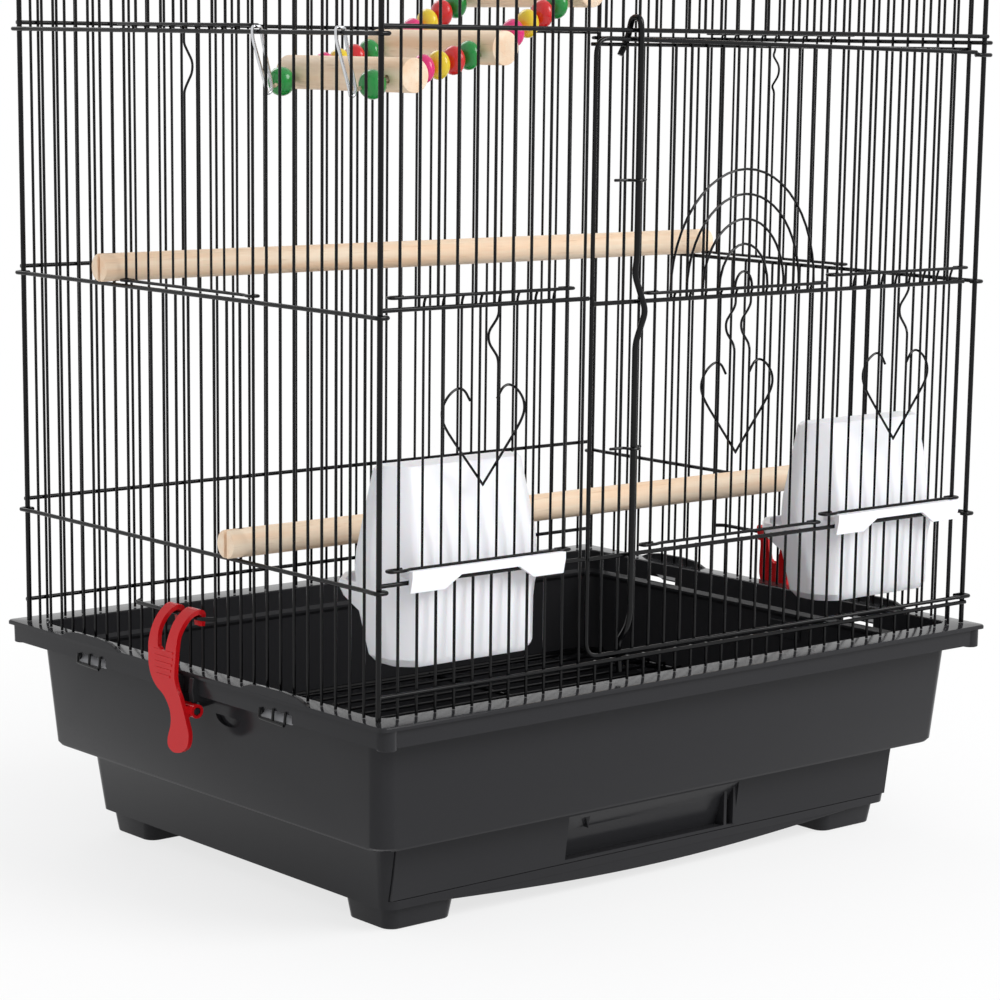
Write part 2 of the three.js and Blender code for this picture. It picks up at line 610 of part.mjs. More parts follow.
// Open heart of wire welded on the inner side of a sliding door.
function heart(side, s, tip) {
  const n = DOOR_N - 2 * DOOR_WIRE_R + 0.15;
  const half = [[9, 44], [13, 49.5], [18, 50.5], [24, 46.5], [27.5, 39.5], [25, 31]];
  const points = [
    ...half.map(([u, v]) => [s - u, n, tip + v]), [s, n, tip],
    ...half.map(([u, v]) => [s + u, n, tip + v]).reverse(),
  ];
  return on(side, points, DOOR_WIRE_R);
}

const spread = (first, step, count) => Array.from({ length: count }, (_, k) => first + k * step);
const feedHeart = (guides) => (guides[0] + guides[1]) / 2 + 1.2;

function feederDoor(guides, step, offset, top, bottom, guideR, bend) {
  const uprights = spread(guides[0] + step + offset, step, 8);
  return [
    ...slidingDoor(FRONT, {
      guides, guideR, left: 6.4, right: 3.4, uprights, top, bottom, bend, kinks: { 4: kink(top) },
    }),
    heart(FRONT, feedHeart(guides), bottom + 39),
  ];
}
part('feeder_door_left', feederDoor(
  FEED_DOOR_LEFT, LEFT_PITCH, 3.4, LEVEL_MID + 5.9, LEVEL_LOW + 6.5, UPRIGHT_R, LEVEL_MID + 2.4,
), BLACK_WIRE);
part('feeder_door_right', feederDoor(
  FEED_DOOR_RIGHT, INNER_PITCH, 2.6, LEVEL_MID + 5, LEVEL_LOW + 7, STILE_R, LEVEL_MID - 0.4,
), BLACK_WIRE);

function archDoor() {
  const top = DOOR_MID + 3.9;
  const bottom = DOOR_LOW + 3.6;
  const uprights = spread(ARCH_DOOR[0] + INNER_PITCH + 2.6, INNER_PITCH, 10);
  const solids = slidingDoor(FRONT, {
    guides: ARCH_DOOR, guideR: UPRIGHT_R, left: 6.4, right: 2.3, uprights, top, bottom,
    bend: DOOR_MID + 1.4, kinks: { 4: kink(top + 2), 5: kink(top + 2) },
  });
  const centre = (ARCH_DOOR[0] + ARCH_DOOR[1]) / 2;
  for (const [half, rise] of [[55, 64.5], [43, 51], [31, 37.5], [18.5, 24], [6.5, 9]]) {
    const points = [];
    const steps = half > 20 ? 8 : 4;
    for (let i = 0; i <= steps; i++) {
      const t = (Math.PI * i) / steps;
      points.push([centre - half * Math.cos(t), UPRIGHT_R + 0.35 + 0.8, top + rise * Math.sin(t)]);
    }
    solids.push(on(FRONT, points, 0.8));
  }
  return [...solids, heart(FRONT, centre + 1, bottom + 45)];
}
part('arch_door', archDoor(), BLACK_WIRE);

function sideDoor(side) {
  const middle = CAGE_DEPTH / 2;
  const top = LEVEL_HIGH - SIDE_DROP + 3.4;
  return slidingDoor(side, {
    guides: [middle - SIDE_DOOR_HALF, middle + SIDE_DOOR_HALF],
    guideR: UPRIGHT_R + GAP,
    left: 2.3,
    right: 2.3,
    uprights: spread(middle - SIDE_DOOR_HALF + SIDE_PITCH + 2.6, SIDE_PITCH, 9),
    top,
    bottom: LEVEL_MID - SIDE_DROP + 3,
    bend: LEVEL_HIGH - SIDE_DROP + 1.4,
    kinks: { 4: kink(top + 1) },
  });
}
part('side_door_left', sideDoor(LEFT), BLACK_WIRE);
part('side_door_right', sideDoor(RIGHT), BLACK_WIRE);

// ---- Red clips --------------------------------------------------------------------
// A prong leaves the body upright and arcs in over the wire. Each station holds the
// outer and inner faces as [n, z] from the clip's face and its wire, then both edges.
function prong(side, first, edges) {
  const face = FLANGE_REACH + 0.5;
  const top = CLIP_LEVEL + UPRIGHT_R + 0.9;
  const arch = [
    [[face + 2.6, top - 25], [face, top - 25]], [[face + 2.6, top - 19], [face, top - 19]],
    [[face + 1.7, top - 12], [face - 0.8, top - 12.7]], [[face - 0.4, top - 5.5], [face - 2.6, top - 7]],
    [[CLIP_N + 4, top - 0.5], [CLIP_N + 2.3, top - 2.2]], [[CLIP_N + 0.8, top + 2.7], [CLIP_N + 0.4, top]],
    [[CLIP_N - 2.6, top + 2.7], [CLIP_N - 1.8, top]], [[CLIP_N - 4.2, top + 1], [CLIP_N - 1.8, top - 0.2]],
  ];
  return loft(arch.map(([[n1, z1], [n0, z0]], k) => {
    const [a, b] = [first + edges[k][0], first + edges[k][1]];
    return [side(a, n1, z1), side(b, n1, z1), side(b, n0, z0), side(a, n0, z0)];
  }));
}

// Body with a thumb paddle below and two prongs above, and a knuckle round the pin.
function clip(side) {
  const y = CLIP_Y;
  const face = FLANGE_REACH + 0.5;
  const outline = [
    [36.6, 12], [36.7, 2], [34.2, -5], [29, -10], [21.2, -13.5], [15.5, -21], [14.9, -28.5],
    [18.5, -36.8], [18.6, -41.3], [14, -44.2], [6, -43.5], [-1.2, -38.5], [-2.4, -31.3],
    [0.6, -24.4], [3.1, -18.9], [5.6, -13.4], [9.4, -8.1], [11.7, -2.6], [10.6, 6.6], [9.6, 12],
  ].map(([u, v]) => [y + u, v]);
  const solids = [
    prism(outline, face, face + 2.6, (u, v, d) => side(u, d, v)),
    prong(side, y, [
      [10.5, 20], [9.5, 19.4], [9, 17.6], [7.2, 16.2], [4.8, 14.2], [2, 12.5], [1.4, 11.4], [1.4, 9.4],
    ]),
    prong(side, y, [
      [26, 36.5], [27.3, 36.4], [27.8, 35.2], [26.7, 33.8], [24.4, 32.2], [21.8, 30.7], [21.2, 29.6], [21.6, 28.6],
    ]),
  ];
  const knuckle = [];
  for (const r of [CLIP_PIN_R + 2, CLIP_PIN_R + 0.35]) {
    const across = arc(CLIP_PIN_N, CLIP_PIN_Z, r, 0, 315, 7);
    const reach = r > CLIP_PIN_R + 1 ? 0 : 1;
    knuckle.push(prism(across, y + 0.2 - reach, y + 16.4 + reach, (u, v, d) => side(d, u, v)));
  }
  const web = sideBox(
    side, [y + 2.4, CLIP_PIN_N + 2.9, CLIP_PIN_Z - 3], [y + 12.8, face + 0.5, CLIP_PIN_Z + 3],
  );
  return union([...solids, union([knuckle[0], web]).subtract(knuckle[1])]);
}
part('clip_left', clip(LEFT), RED_PLASTIC);
part('clip_right', clip(RIGHT), RED_PLASTIC);

// ---- Feeders -----------------------------------------------------------------------
// Cup with a back ledge, hood above it open to the cage, and a lip hung on the wire.
function feeder([g0, g1], lipTop) {
  const c = (g0 + g1) / 2;
  const z0 = lipTop - 77;
  const section = ([z, half, y0, y1, front, back], inset) => {
    const w = half - inset;
    const [a, b] = [y0 + inset, y1 - inset];
    return [
      [c - w + front, a, z0 + z], [c + w - front, a, z0 + z],
      [c + w, a + front, z0 + z], [c + w, b - back, z0 + z],
      [c + w - back, b, z0 + z], [c - w + back, b, z0 + z],
      [c - w, b - back, z0 + z], [c - w, a + front, z0 + z],
    ];
  };
  const rows = [
    [15.5, 43, 8, 38, 8, 10], [21, 47, 5.2, 44, 10, 12], [50, 53, 4.4, 51, 14, 14],
    [57, 56, 4.4, 66, 16, 16], [63, 58, 4.4, 68, 16, 16], [74, 59, 4.4, 56, 18, 14],
    [86, 59, 5, 40, 18, 8], [126, 50, 11.6, 32, 10, 4],
    [128, 48, 13, 30, 9, 4],
  ];
  const outer = loft(rows.map((row) => section(row, 0)));
  const inner = loft(rows.slice(0, -1).map(([z, ...row], k) => (
    section([k === 0 ? z + 2.2 : z - 0.4, ...row], 2)
  )));
  const open = box([c - 70, 34, z0 + 66], [c + 70, 80, z0 + 130]);
  const lip = [
    [-51.5, 77], [51.5, 77], [51.5, 62], [33, 62], [27, 68], [-27, 68], [-33, 62], [-51.5, 62],
  ].map(([u, v]) => [c + u, z0 + v]);
  return union([
    outer.subtract(inner).subtract(open),
    prism(lip, -7, -BAR_N - BAR_R - 0.45, (u, v, d) => [u, d, v]),
    box([c - 51, -6, z0 + 72.6], [c + 51, 6, z0 + 75.4]),
  ]);
}
part('feeder_left', feeder(FEED_DOOR_LEFT, LEVEL_LOW + 6.5), WHITE_PLASTIC);
part('feeder_right', feeder(FEED_DOOR_RIGHT, LEVEL_LOW + 6.5), WHITE_PLASTIC);

// ---- Perches -------------------------------------------------------------------------
// Round stick resting on the side bars, a saw kerf at each end over one upright.
function perch(j, z) {
  const y = j * SIDE_PITCH;
  const stick = wire([[-10, y, z], [CAGE_WIDTH + 10, y, z]], PERCH_R, { sides: 12 });
  const slot = UPRIGHT_R + GAP;
  const kerf = (x0, x1) => box([x0, y - slot, z - 10], [x1, y + slot, z + 10]);
  return stick.subtract(union([kerf(-12, 2.2), kerf(CAGE_WIDTH - 2.2, CAGE_WIDTH + 12)]));
}
const onBar = BAR_R - SIDE_DROP + GAP + PERCH_R;
part('perch_upper', perch(20, LEVEL_MID + onBar), PALE_WOOD);
part('perch_lower', perch(10, LEVEL_LOW + onBar), PALE_WOOD);

// ---- Ladder toy ------------------------------------------------------------------------
// Rungs threaded on two beaded cords that hang from side to side of the cage.
const TOY_Y = [27, 110];
const TOY_FIRST = 33; // first and last rung, from the left and the right side wires
const TOY_LAST = 57;
const TOY_DROP = 24; // the cord ends hang this far under the bars that they hook on
const CORD_R = 1.6;
const CORD_END = 8.6; // the cords stop this far inside the side wires
const rungX = (k) => TOY_FIRST + k * ((CAGE_WIDTH - TOY_FIRST - TOY_LAST) / (RUNG_COUNT - 1));
const TOY_START = LEVEL_HIGH - TOY_DROP;
const TOY_RISE = WALL_HEIGHT - TOY_DROP - TOY_START;
const TOY_SPAN = CAGE_WIDTH - CORD_END - TOY_FIRST;
const TOY_BEND = 0.158; // part of the rise that comes late, as the cords hang slack
const along = (x) => (x - TOY_FIRST) / TOY_SPAN;
const sag = (x) => TOY_START + TOY_RISE * along(x) * (1 - TOY_BEND + TOY_BEND * along(x));
const sagSlope = (x) => (TOY_RISE / TOY_SPAN) * (1 - TOY_BEND + 2 * TOY_BEND * along(x));

for (let k = 0; k < RUNG_COUNT; k++) {
  const x = rungX(k);
  const z = sag(x);
  const stick = wire([[x, 15, z], [x, 15 + RUNG_LENGTH, z]], RUNG_R, { sides: 8 });
  const slope = sagSlope(x);
  const holes = TOY_Y.map((y) => wire(
    [[x - 12, y, z - 12 * slope], [x + 12, y, z + 12 * slope]], CORD_R + 0.8, { sides: 4 },
  ));
  part(`rung_${k + 1}`, stick.subtract(union(holes)), PALE_WOOD);
}

// One cord with its beads: a chain of rings whose radius swells at every bead.
// The ends turn aside to the hooks, at y positions ends[0] and ends[1].
function beadCord(y, counts, ends) {
  const first = rungX(0) - RUNG_R;
  const last = rungX(RUNG_COUNT - 1) + RUNG_R;
  const drift = (x) => {
    if (x < first) {
      return ((first - x) / (first - CORD_END)) * (ends[0] - y);
    }
    return x > last ? ((x - last) / (CAGE_WIDTH - CORD_END - last)) * (ends[1] - y) : 0;
  };
  const rings = [];
  const push = (x, r) => {
    const ring = [];
    for (let i = 0; i < 6; i++) {
      const t = (Math.PI * i) / 3;
      ring.push([x, y + drift(x) + r * Math.cos(t), sag(x) + r * Math.sin(t)]);
    }
    rings.push(ring);
  };
  const bead = (x, length, r) => {
    push(x - length / 2, CORD_R);
    push(x - length / 4, r);
    push(x + length / 4, r);
    push(x + length / 2, CORD_R);
  };
  push(CORD_END, CORD_R);
  bead(first - 7.6, 13, 7);
  push(first, CORD_R);
  for (let k = 0; k < RUNG_COUNT - 1; k++) {
    const from = rungX(k) + RUNG_R + 1;
    const room = rungX(k + 1) - RUNG_R - 1 - from;
    const n = counts[k % counts.length];
    for (let i = 0; i < n; i++) {
      bead(from + (room * (i + 0.5)) / n, Math.min(12, room / n - 0.4), 6.6);
    }
  }
  push(last, CORD_R);
  bead(last + 7.6, 13, 7);
  push(CAGE_WIDTH - CORD_END, CORD_R);
  return loft(rings);
}

// Snap hook: a long loop of spring wire round a side bar, reaching in to a cord end.
function snapHook(side, s, barZ, endZ) {
  const r = 0.9;
  const n = BAR_N + RECESS;
  const clear = BAR_R + GAP + r + 0.05;
  const inner = -(CORD_END - GAP - r - 0.1);
  return on(side, [
    [s, n - clear, barZ + clear], [s, n + clear, barZ + clear], [s, n + clear, barZ - 3],
    [s, inner + 4.6, endZ + 2], [s, inner + 3, endZ - 4], [s, inner + 0.6, endZ - 3],
    [s, inner, endZ], [s, n - clear - 1.2, barZ - 4],
  ], r, { loop: true });
}

const HOOK_NEAR = 2.5 * SIDE_PITCH;
const HOOK_FAR = [8.4 * SIDE_PITCH, 9.5 * SIDE_PITCH];
part('bead_cord_near', beadCord(TOY_Y[0], [4], [HOOK_NEAR, HOOK_NEAR]), BEADS);
part('bead_cord_far', beadCord(TOY_Y[1], [2, 3], HOOK_FAR), BEADS);
const lowHook = [LEVEL_HIGH - SIDE_DROP, sag(CORD_END)];
const highHook = [WALL_HEIGHT - SIDE_DROP, sag(CAGE_WIDTH - CORD_END)];
part('snap_hook_1', snapHook(LEFT, HOOK_NEAR, ...lowHook), STEEL);
part('snap_hook_2', snapHook(LEFT, HOOK_FAR[0], ...lowHook), STEEL);
part('snap_hook_3', snapHook(RIGHT, HOOK_NEAR, ...highHook), STEEL);
part('snap_hook_4', snapHook(RIGHT, HOOK_FAR[1], ...highHook), STEEL);

export default group;
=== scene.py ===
"""Bird cage: round wires, moulded plastic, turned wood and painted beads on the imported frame.

Lengths inside the builders are millimetres in the drawing frame: x to the right and y to
the back from the front left corner wire, z up from the base's flange.
"""

from math import atan2, cos, pi, radians, sin, tan

import bpy
from bpy.types import Operator, Panel, PropertyGroup
import numpy as np
from mathutils import Matrix, Vector


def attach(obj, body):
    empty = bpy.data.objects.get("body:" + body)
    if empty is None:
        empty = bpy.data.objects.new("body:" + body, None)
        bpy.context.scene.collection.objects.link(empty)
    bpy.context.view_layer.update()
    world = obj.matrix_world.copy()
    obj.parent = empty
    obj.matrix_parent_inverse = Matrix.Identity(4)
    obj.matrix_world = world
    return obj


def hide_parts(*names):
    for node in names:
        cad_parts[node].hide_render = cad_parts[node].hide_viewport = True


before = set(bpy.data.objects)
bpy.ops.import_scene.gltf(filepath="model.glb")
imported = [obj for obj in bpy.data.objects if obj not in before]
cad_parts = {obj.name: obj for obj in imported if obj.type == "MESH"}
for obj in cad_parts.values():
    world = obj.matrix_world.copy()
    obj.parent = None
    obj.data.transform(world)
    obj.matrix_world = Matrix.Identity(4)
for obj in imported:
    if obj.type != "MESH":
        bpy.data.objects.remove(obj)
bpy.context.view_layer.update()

bl_info = {
    "name": "Bird Cage",
    "version": (1, 0, 0),
    "blender": (4, 5, 0),
    "location": "View3D > Sidebar > Bird Cage",
    "description": "Builds a wire bird cage on its moulded base",
    "category": "Object",
}

W, D, H = 444.0, 336.0, 125.0  # wire planes apart, and floor to flange
FOOT, LOW, MID, HIGH, EAVE = 13.0, 70.5, 209.0, 347.5, 486.0
DROP = 3.6
ROOF_RISE = 190.0
SIDE_REACH, FRONT_REACH = 7.8, 13.2
CLIP_FACE = 13.35
GATE = 60.0  # half of a side opening
FLOOR_R, FLOOR_Z = 9.0, -0.0004
LEFT_PITCH, LEFT_N, DOOR_N = 12.3, 11, 26
SIDE_PITCH, SIDE_N = 12.0, 28
BAY = LEFT_PITCH * LEFT_N
DOOR_PITCH = (W - BAY) / DOOR_N
DOOR_L, DOOR_R = BAY + 3.9, W - 13
DOOR_B, DOOR_T = FOOT + 3.6, HIGH - 4.4
DOOR_BAYS, GRATE_ROWS = 25, 20
INNER = (DOOR_R - DOOR_L) / DOOR_BAYS
INNER_TOP = DOOR_T - 3
BAR_OUT = 2.0
CORNER_R = 1.5
PERCH_R, RUNG_R, RUNGS, RUNG_CLEAR = 7.8, 8.75, 7, 9.75
TOY_START = 33  # first rung's place along the cage
CAMERA_AT = (-1.1305, -1.3386, 0.4664)
CAMERA_LENS, CAMERA_SHIFT, CAMERA_TILT = 107.6, (-0.0413, 0.0969), 0.0145
STEP_Z = -73.5
PLINTH_Z = -112.0
TUB_INSET = 10.4
LEDGE_Z = STEP_Z + 4
SLOPE = atan2(ROOF_RISE, D / 2)
ROOF_START = EAVE + 3.2
TOY_Y = (27.0, 110.0)
HOOK_NEAR, HOOK_FAR = 30.0, (100.8, 114.0)
CORD_END = 8.6
WINDOWS = (66.0, D - 91.5)

front_x = [i * LEFT_PITCH for i in range(LEFT_N)] + [BAY + i * DOOR_PITCH for i in range(DOOR_N + 1)]


# ---- Mesh helpers ----
# A point of a wall: s along it, n out of it and z up.
def front(s, n, z):
    return (s, -n, z)


def back(s, n, z):
    return (s, D + n, z)


def left(s, n, z):
    return (-n, s, z)


def right(s, n, z):
    return (W + n, s, z)


def to_row(points):
    """Millimetres of the drawing frame to metres of the row frame."""
    return (np.asarray(points, float) - (W / 2, D / 2, -H)) / 1000


def soften(points, radius, steps=4):
    """Polyline with each inner corner replaced by a quadratic curve that leaves and meets
    the two legs at radius from the corner, or at 0.48 of the shorter leg."""
    p = np.asarray(points, float)
    out = [p[0]]
    for a, b, c in zip(p[:-2], p[1:-1], p[2:]):
        la, lc = np.linalg.norm(a - b), np.linalg.norm(c - b)
        cut = min(radius, 0.48 * la, 0.48 * lc)
        start, end = b + (a - b) / la * cut, b + (c - b) / lc * cut
        t = np.linspace(0, 1, steps + 1)[:, None]
        out.extend((1 - t) ** 2 * start + 2 * t * (1 - t) * b + t**2 * end)
    out.append(p[-1])
    return np.array(out)


def soft_loop(points, radius, steps=4):
    """Closed polyline with every corner softened, begun halfway along its first leg."""
    p = np.asarray(points, float)
    start = (p[0] + p[1]) / 2
    return soften(np.vstack([start, p[1:], p[0], start]), radius, steps)[:-1]


def spline(points, steps=5):
    """Catmull-Rom curve through the points: each span is a cubic whose end slopes are half
    the difference of the neighbouring points."""
    p = np.asarray(points, float)
    q = np.vstack([2 * p[0] - p[1], p, 2 * p[-1] - p[-2]])
    t = np.linspace(0, 1, steps, endpoint=False)[:, None]
    spans = []
    for a, b, c, d in zip(q[:-3], q[1:-2], q[2:-1], q[3:]):
        square, cube = 2 * a - 5 * b + 4 * c - d, 3 * b - a - 3 * c + d
        spans.append(0.5 * (2 * b + (c - a) * t + square * t**2 + cube * t**3))
    return np.vstack([*spans, p[-1:]])


def ring_faces(rows, n, closed=False):
    """Quads between rows of n points each, the last row joined to the first when closed."""
    k = np.arange(rows if closed else rows - 1)[:, None]
    i = np.arange(n)[None, :]
    j = (i + 1) % n
    a, b = k * n, ((k + 1) % rows) * n
    return np.stack([a + i, a + j, b + j, b + i], -1).reshape(-1, 4).tolist()


def skin(rings, closed=False, caps=True):
    """Surface through rings of equal size, with a polygon on each end. Rings run
    anticlockwise seen from the end that the path comes from."""
    rings = np.asarray(rings, float)
    rows, n = rings.shape[:2]
    faces = ring_faces(rows, n, closed)
    if caps and not closed:
        faces.append(list(range(n))[::-1])
        faces.append(list(range((rows - 1) * n, rows * n)))
    points = rings.reshape(-1, 3)
    tri = [(f[0], f[i], f[i + 1]) for f in faces for i in range(1, len(f) - 1)]
    a, b, c = (points[[t[k] for t in tri]] for k in range(3))
    if np.einsum("ij,ij->i", a, np.cross(b, c)).sum() < 0:
        faces = [f[::-1] for f in faces]
    return points, faces


def tube(points, radius, sides=10, closed=False):
    """Circle of the radius carried along the points without twist, in the mitre plane at
    every bend."""
    p = np.asarray(points, float)
    ahead = np.roll(p, -1, 0) - p
    if not closed:
        ahead[-1] = ahead[-2]
    ahead /= np.linalg.norm(ahead, axis=1)[:, None]
    behind = np.roll(ahead, 1, 0)
    if not closed:
        behind[0] = ahead[0]
    tangent = ahead + behind
    tangent /= np.linalg.norm(tangent, axis=1)[:, None]
    ref = np.array([0, 0, 1.0]) if abs(tangent[0][2]) < 0.9 else np.array([1.0, 0, 0])
    u = ref - tangent[0] * ref.dot(tangent[0])
    u /= np.linalg.norm(u)
    angle = np.linspace(0, 2 * np.pi, sides, endpoint=False)
    rings = []
    for k in range(len(p)):
        u = u - tangent[k] * u.dot(tangent[k])
        u /= np.linalg.norm(u)
        v = np.cross(tangent[k], u)
        side = radius * (np.cos(angle)[:, None] * u + np.sin(angle)[:, None] * v)
        stretch = tangent[k] - behind[k] * tangent[k].dot(behind[k])
        size = np.linalg.norm(stretch)
        if size > 1e-6:
            w = np.cross(behind[k], stretch / size)
            m = np.cross(w, tangent[k])
            m /= np.linalg.norm(m)
            grow = 1 / max(0.5, tangent[k].dot(behind[k])) - 1
            side = side + grow * side.dot(m)[:, None] * m
        rings.append(p[k] + side)
    return skin(rings, closed)


def run(side, points, radius, bend=2.5, sides=10, closed=False):
    """Wire along (s, n, z) points of one panel, its corners bent to a small radius."""
    p = np.array([side(*q) for q in points])
    if len(p) > 2 and bend:
        p = (soft_loop if closed else soften)(p, bend)
    return tube(p, radius, sides, closed)


def bar(side, s0, s1, z, n=BAR_OUT, radius=None):
    """Level wire on one wall, between two places along it."""
    return run(side, [(s0, n, z), (s1, n, z)], radius or wire_r("bar"), sides=12)


def upright(side, s, z0, z1, n=0.0, radius=None):
    """Vertical wire on one wall, between two heights."""
    return run(side, [(s, n, z0), (s, n, z1)], radius or wire_r("upright"))


def merge(parts):
    """One list of points and faces from several."""
    points, faces, base = [], [], 0
    for p, f in parts:
        points.append(np.asarray(p, float))
        faces.extend([[i + base for i in q] for q in f])
        base += len(p)
    return np.vstack(points), faces


def sizes():
    """The settings of this scene."""
    return bpy.context.scene.bird_cage


def wire_r(kind):
    """Radius in millimetres of the bar, upright, door or latch wires."""
    return getattr(sizes(), kind + "_wire") * 500


def place_object(name, data):
    """New object of the data, in the scene and at the origin."""
    obj = bpy.data.objects.new(name, data)
    bpy.context.scene.collection.objects.link(obj)
    return obj


def smooth(mesh, angle=38):
    """Shades the mesh smooth across edges flatter than the angle."""
    mesh.shade_smooth()
    mesh.set_sharp_from_angle(angle=radians(angle))


def make(name, parts, key, body, nodes, angle=38):
    """Object at the origin from the parts, smooth up to the angle, in the paint of the key,
    standing for the nodes. Without a key it is a helper solid, which joins or cuts another."""
    points, faces = merge(parts)
    mesh = bpy.data.meshes.new(name)
    mesh.from_pydata(to_row(points).tolist(), [], faces)
    mesh.validate()
    mesh.update()
    smooth(mesh, angle)
    obj = place_object(name, mesh)
    if key:
        mesh.materials.append(paint(key))
        if nodes:
            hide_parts(*nodes)
        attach(obj, body)
    return obj


def shape(obj, part, operation):
    """Cuts the solid out of the object, or joins it on, and removes the solid."""
    solid = make("helper", [part], None, None, ())
    mod = obj.modifiers.new("shape", "BOOLEAN")
    mod.operation = operation
    mod.solver = "EXACT"
    mod.object = solid
    settle(obj)
    bpy.data.objects.remove(solid)


def cut(obj, part):
    """Takes the part out of the object."""
    shape(obj, part, "DIFFERENCE")


def add(obj, part):
    """Joins the part onto the object."""
    shape(obj, part, "UNION")


def settle(obj):
    """Applies the object's modifiers to its mesh."""
    bpy.context.view_layer.update()
    graph = bpy.context.evaluated_depsgraph_get()
    mesh = bpy.data.meshes.new_from_object(obj.evaluated_get(graph))
    obj.modifiers.clear()
    obj.data = mesh
    smooth(mesh)


def round_edges(obj, width, segments=2, limit=32):
    """Rounds the edges sharper than the limit."""
    mod = obj.modifiers.new("edges", "BEVEL")
    mod.width = width / 1000
    mod.segments = segments
    mod.limit_method = "ANGLE"
    mod.angle_limit = radians(limit)
    mod.harden_normals = True


def block(lo, hi):
    """Box between two corners."""
    (a, b, c), (d, e, f) = lo, hi
    return skin([[(a, b, z), (d, b, z), (d, e, z), (a, e, z)] for z in (c, f)])


def plate(outline, lo, hi, place):
    """Outline of (u, v) pushed from depth lo to depth hi."""
    return skin([[place(u, v, d) for u, v in outline] for d in (lo, hi)])


def seen_from_front(u, v, d):
    """Outline in x and z, pushed along y."""
    return u, d, v


def seen_from_side(u, v, d):
    """Outline in y and z, pushed along x."""
    return d, u, v


def flat_on(side):
    """Outline in a panel's plane, pushed away from it."""
    return lambda u, v, d: side(u, d, v)


def across(side):
    """Outline across a panel, pushed along it."""
    return lambda u, v, d: side(d, u, v)


def arc(u, v, r, start, end, steps):
    """Points of a circle about (u, v) from one angle to the other, in degrees."""
    t = np.radians(np.linspace(start, end, steps + 1))
    return np.stack([u + r * np.cos(t), v + r * np.sin(t)], 1)


def rounded_box(x0, x1, y0, y1, r, z, steps):
    """Rectangle at height z whose corners are quarter circles of radius r."""
    centres = ((x1 - r, y0 + r, -90), (x1 - r, y1 - r, 0), (x0 + r, y1 - r, 90), (x0 + r, y0 + r, 180))
    return [(u, v, z) for x, y, start in centres for u, v in arc(x, y, r, start, start + 90, steps)]


def rounded_plan(inset, z, r, deep=None):
    """Rounded rectangle inset from the wire planes; deep is the inset from the front and
    back ones where it differs."""
    deep = inset if deep is None else deep
    return rounded_box(inset, W - inset, deep, D - deep, r, z, 8)


# ---- Materials ----
def group(name, fill, **outputs):
    """The node group of this name, made once: fill adds its nodes and gives the node and
    socket behind each output."""
    tree = bpy.data.node_groups.get(name)
    if tree:
        return tree
    tree = bpy.data.node_groups.new(name, "ShaderNodeTree")
    for label, kind in outputs.items():
        tree.interface.new_socket(name=label, in_out="OUTPUT", socket_type="NodeSocket" + kind)
    out = node(tree, "NodeGroupOutput")
    for label, (source, socket) in zip(outputs, fill(tree)):
        link(tree, source, socket, out, label)
    return tree


def node(tree, kind, **values):
    """New shader node, its inputs and other values set by name."""
    made = tree.nodes.new(kind if kind.startswith("NodeGroup") else "ShaderNode" + kind)
    for key, value in values.items():
        if key in made.inputs:
            made.inputs[key].default_value = value
        else:
            setattr(made, key, value)
    return made


def link(tree, source, output, target, entry):
    """Joins one node's output to another's entry."""
    tree.links.new(source.outputs[output], target.inputs[entry])


def ramp_node(tree, *stops):
    """Colour ramp through two stops, each a position and a colour."""
    made = node(tree, "ValToRGB")
    for element, (at, colour) in zip(made.color_ramp.elements, stops):
        element.position = at
        element.color = (*colour, 1)
    return made


def moulding_group():
    """Fine moulded grain: a bump normal from small noise, and a slow roughness mask."""
    return group("Moulding grain", fill_moulding, Normal="Vector", Mask="Float")


def fill_moulding(tree):
    """Small noise bent into a normal, and slow noise spread from 0 to 1."""
    place = node(tree, "TexCoord")
    fine = node(tree, "TexNoise", Scale=900.0, Detail=2.0)
    slow = node(tree, "TexNoise", Scale=14.0, Detail=3.0)
    bump = node(tree, "Bump", Strength=0.08, Distance=0.0002)
    span = node(tree, "MapRange", **{"From Min": 0.35, "From Max": 0.65})
    for tex in (fine, slow):
        link(tree, place, "Object", tex, "Vector")
    link(tree, fine, "Fac", bump, "Height")
    link(tree, slow, "Fac", span, "Value")
    return (bump, "Normal"), (span, "Result")


def coating_group():
    """Powder coat on wire: a slight orange-peel normal."""
    return group("Wire coating", fill_coating, Normal="Vector")


def fill_coating(tree):
    """Noise bent into a normal."""
    place = node(tree, "TexCoord")
    peel = node(tree, "TexNoise", Scale=260.0, Detail=1.0)
    bump = node(tree, "Bump", Strength=0.08, Distance=0.0003)
    link(tree, place, "Object", peel, "Vector")
    link(tree, peel, "Fac", bump, "Height")
    return ((bump, "Normal"),)


def timber_group(name, along):
    """Pale turned wood: streaks stretched along one axis, darker pores and a soft normal."""
    return group(name, lambda tree: fill_timber(tree, along), Colour="Color", Normal="Vector")


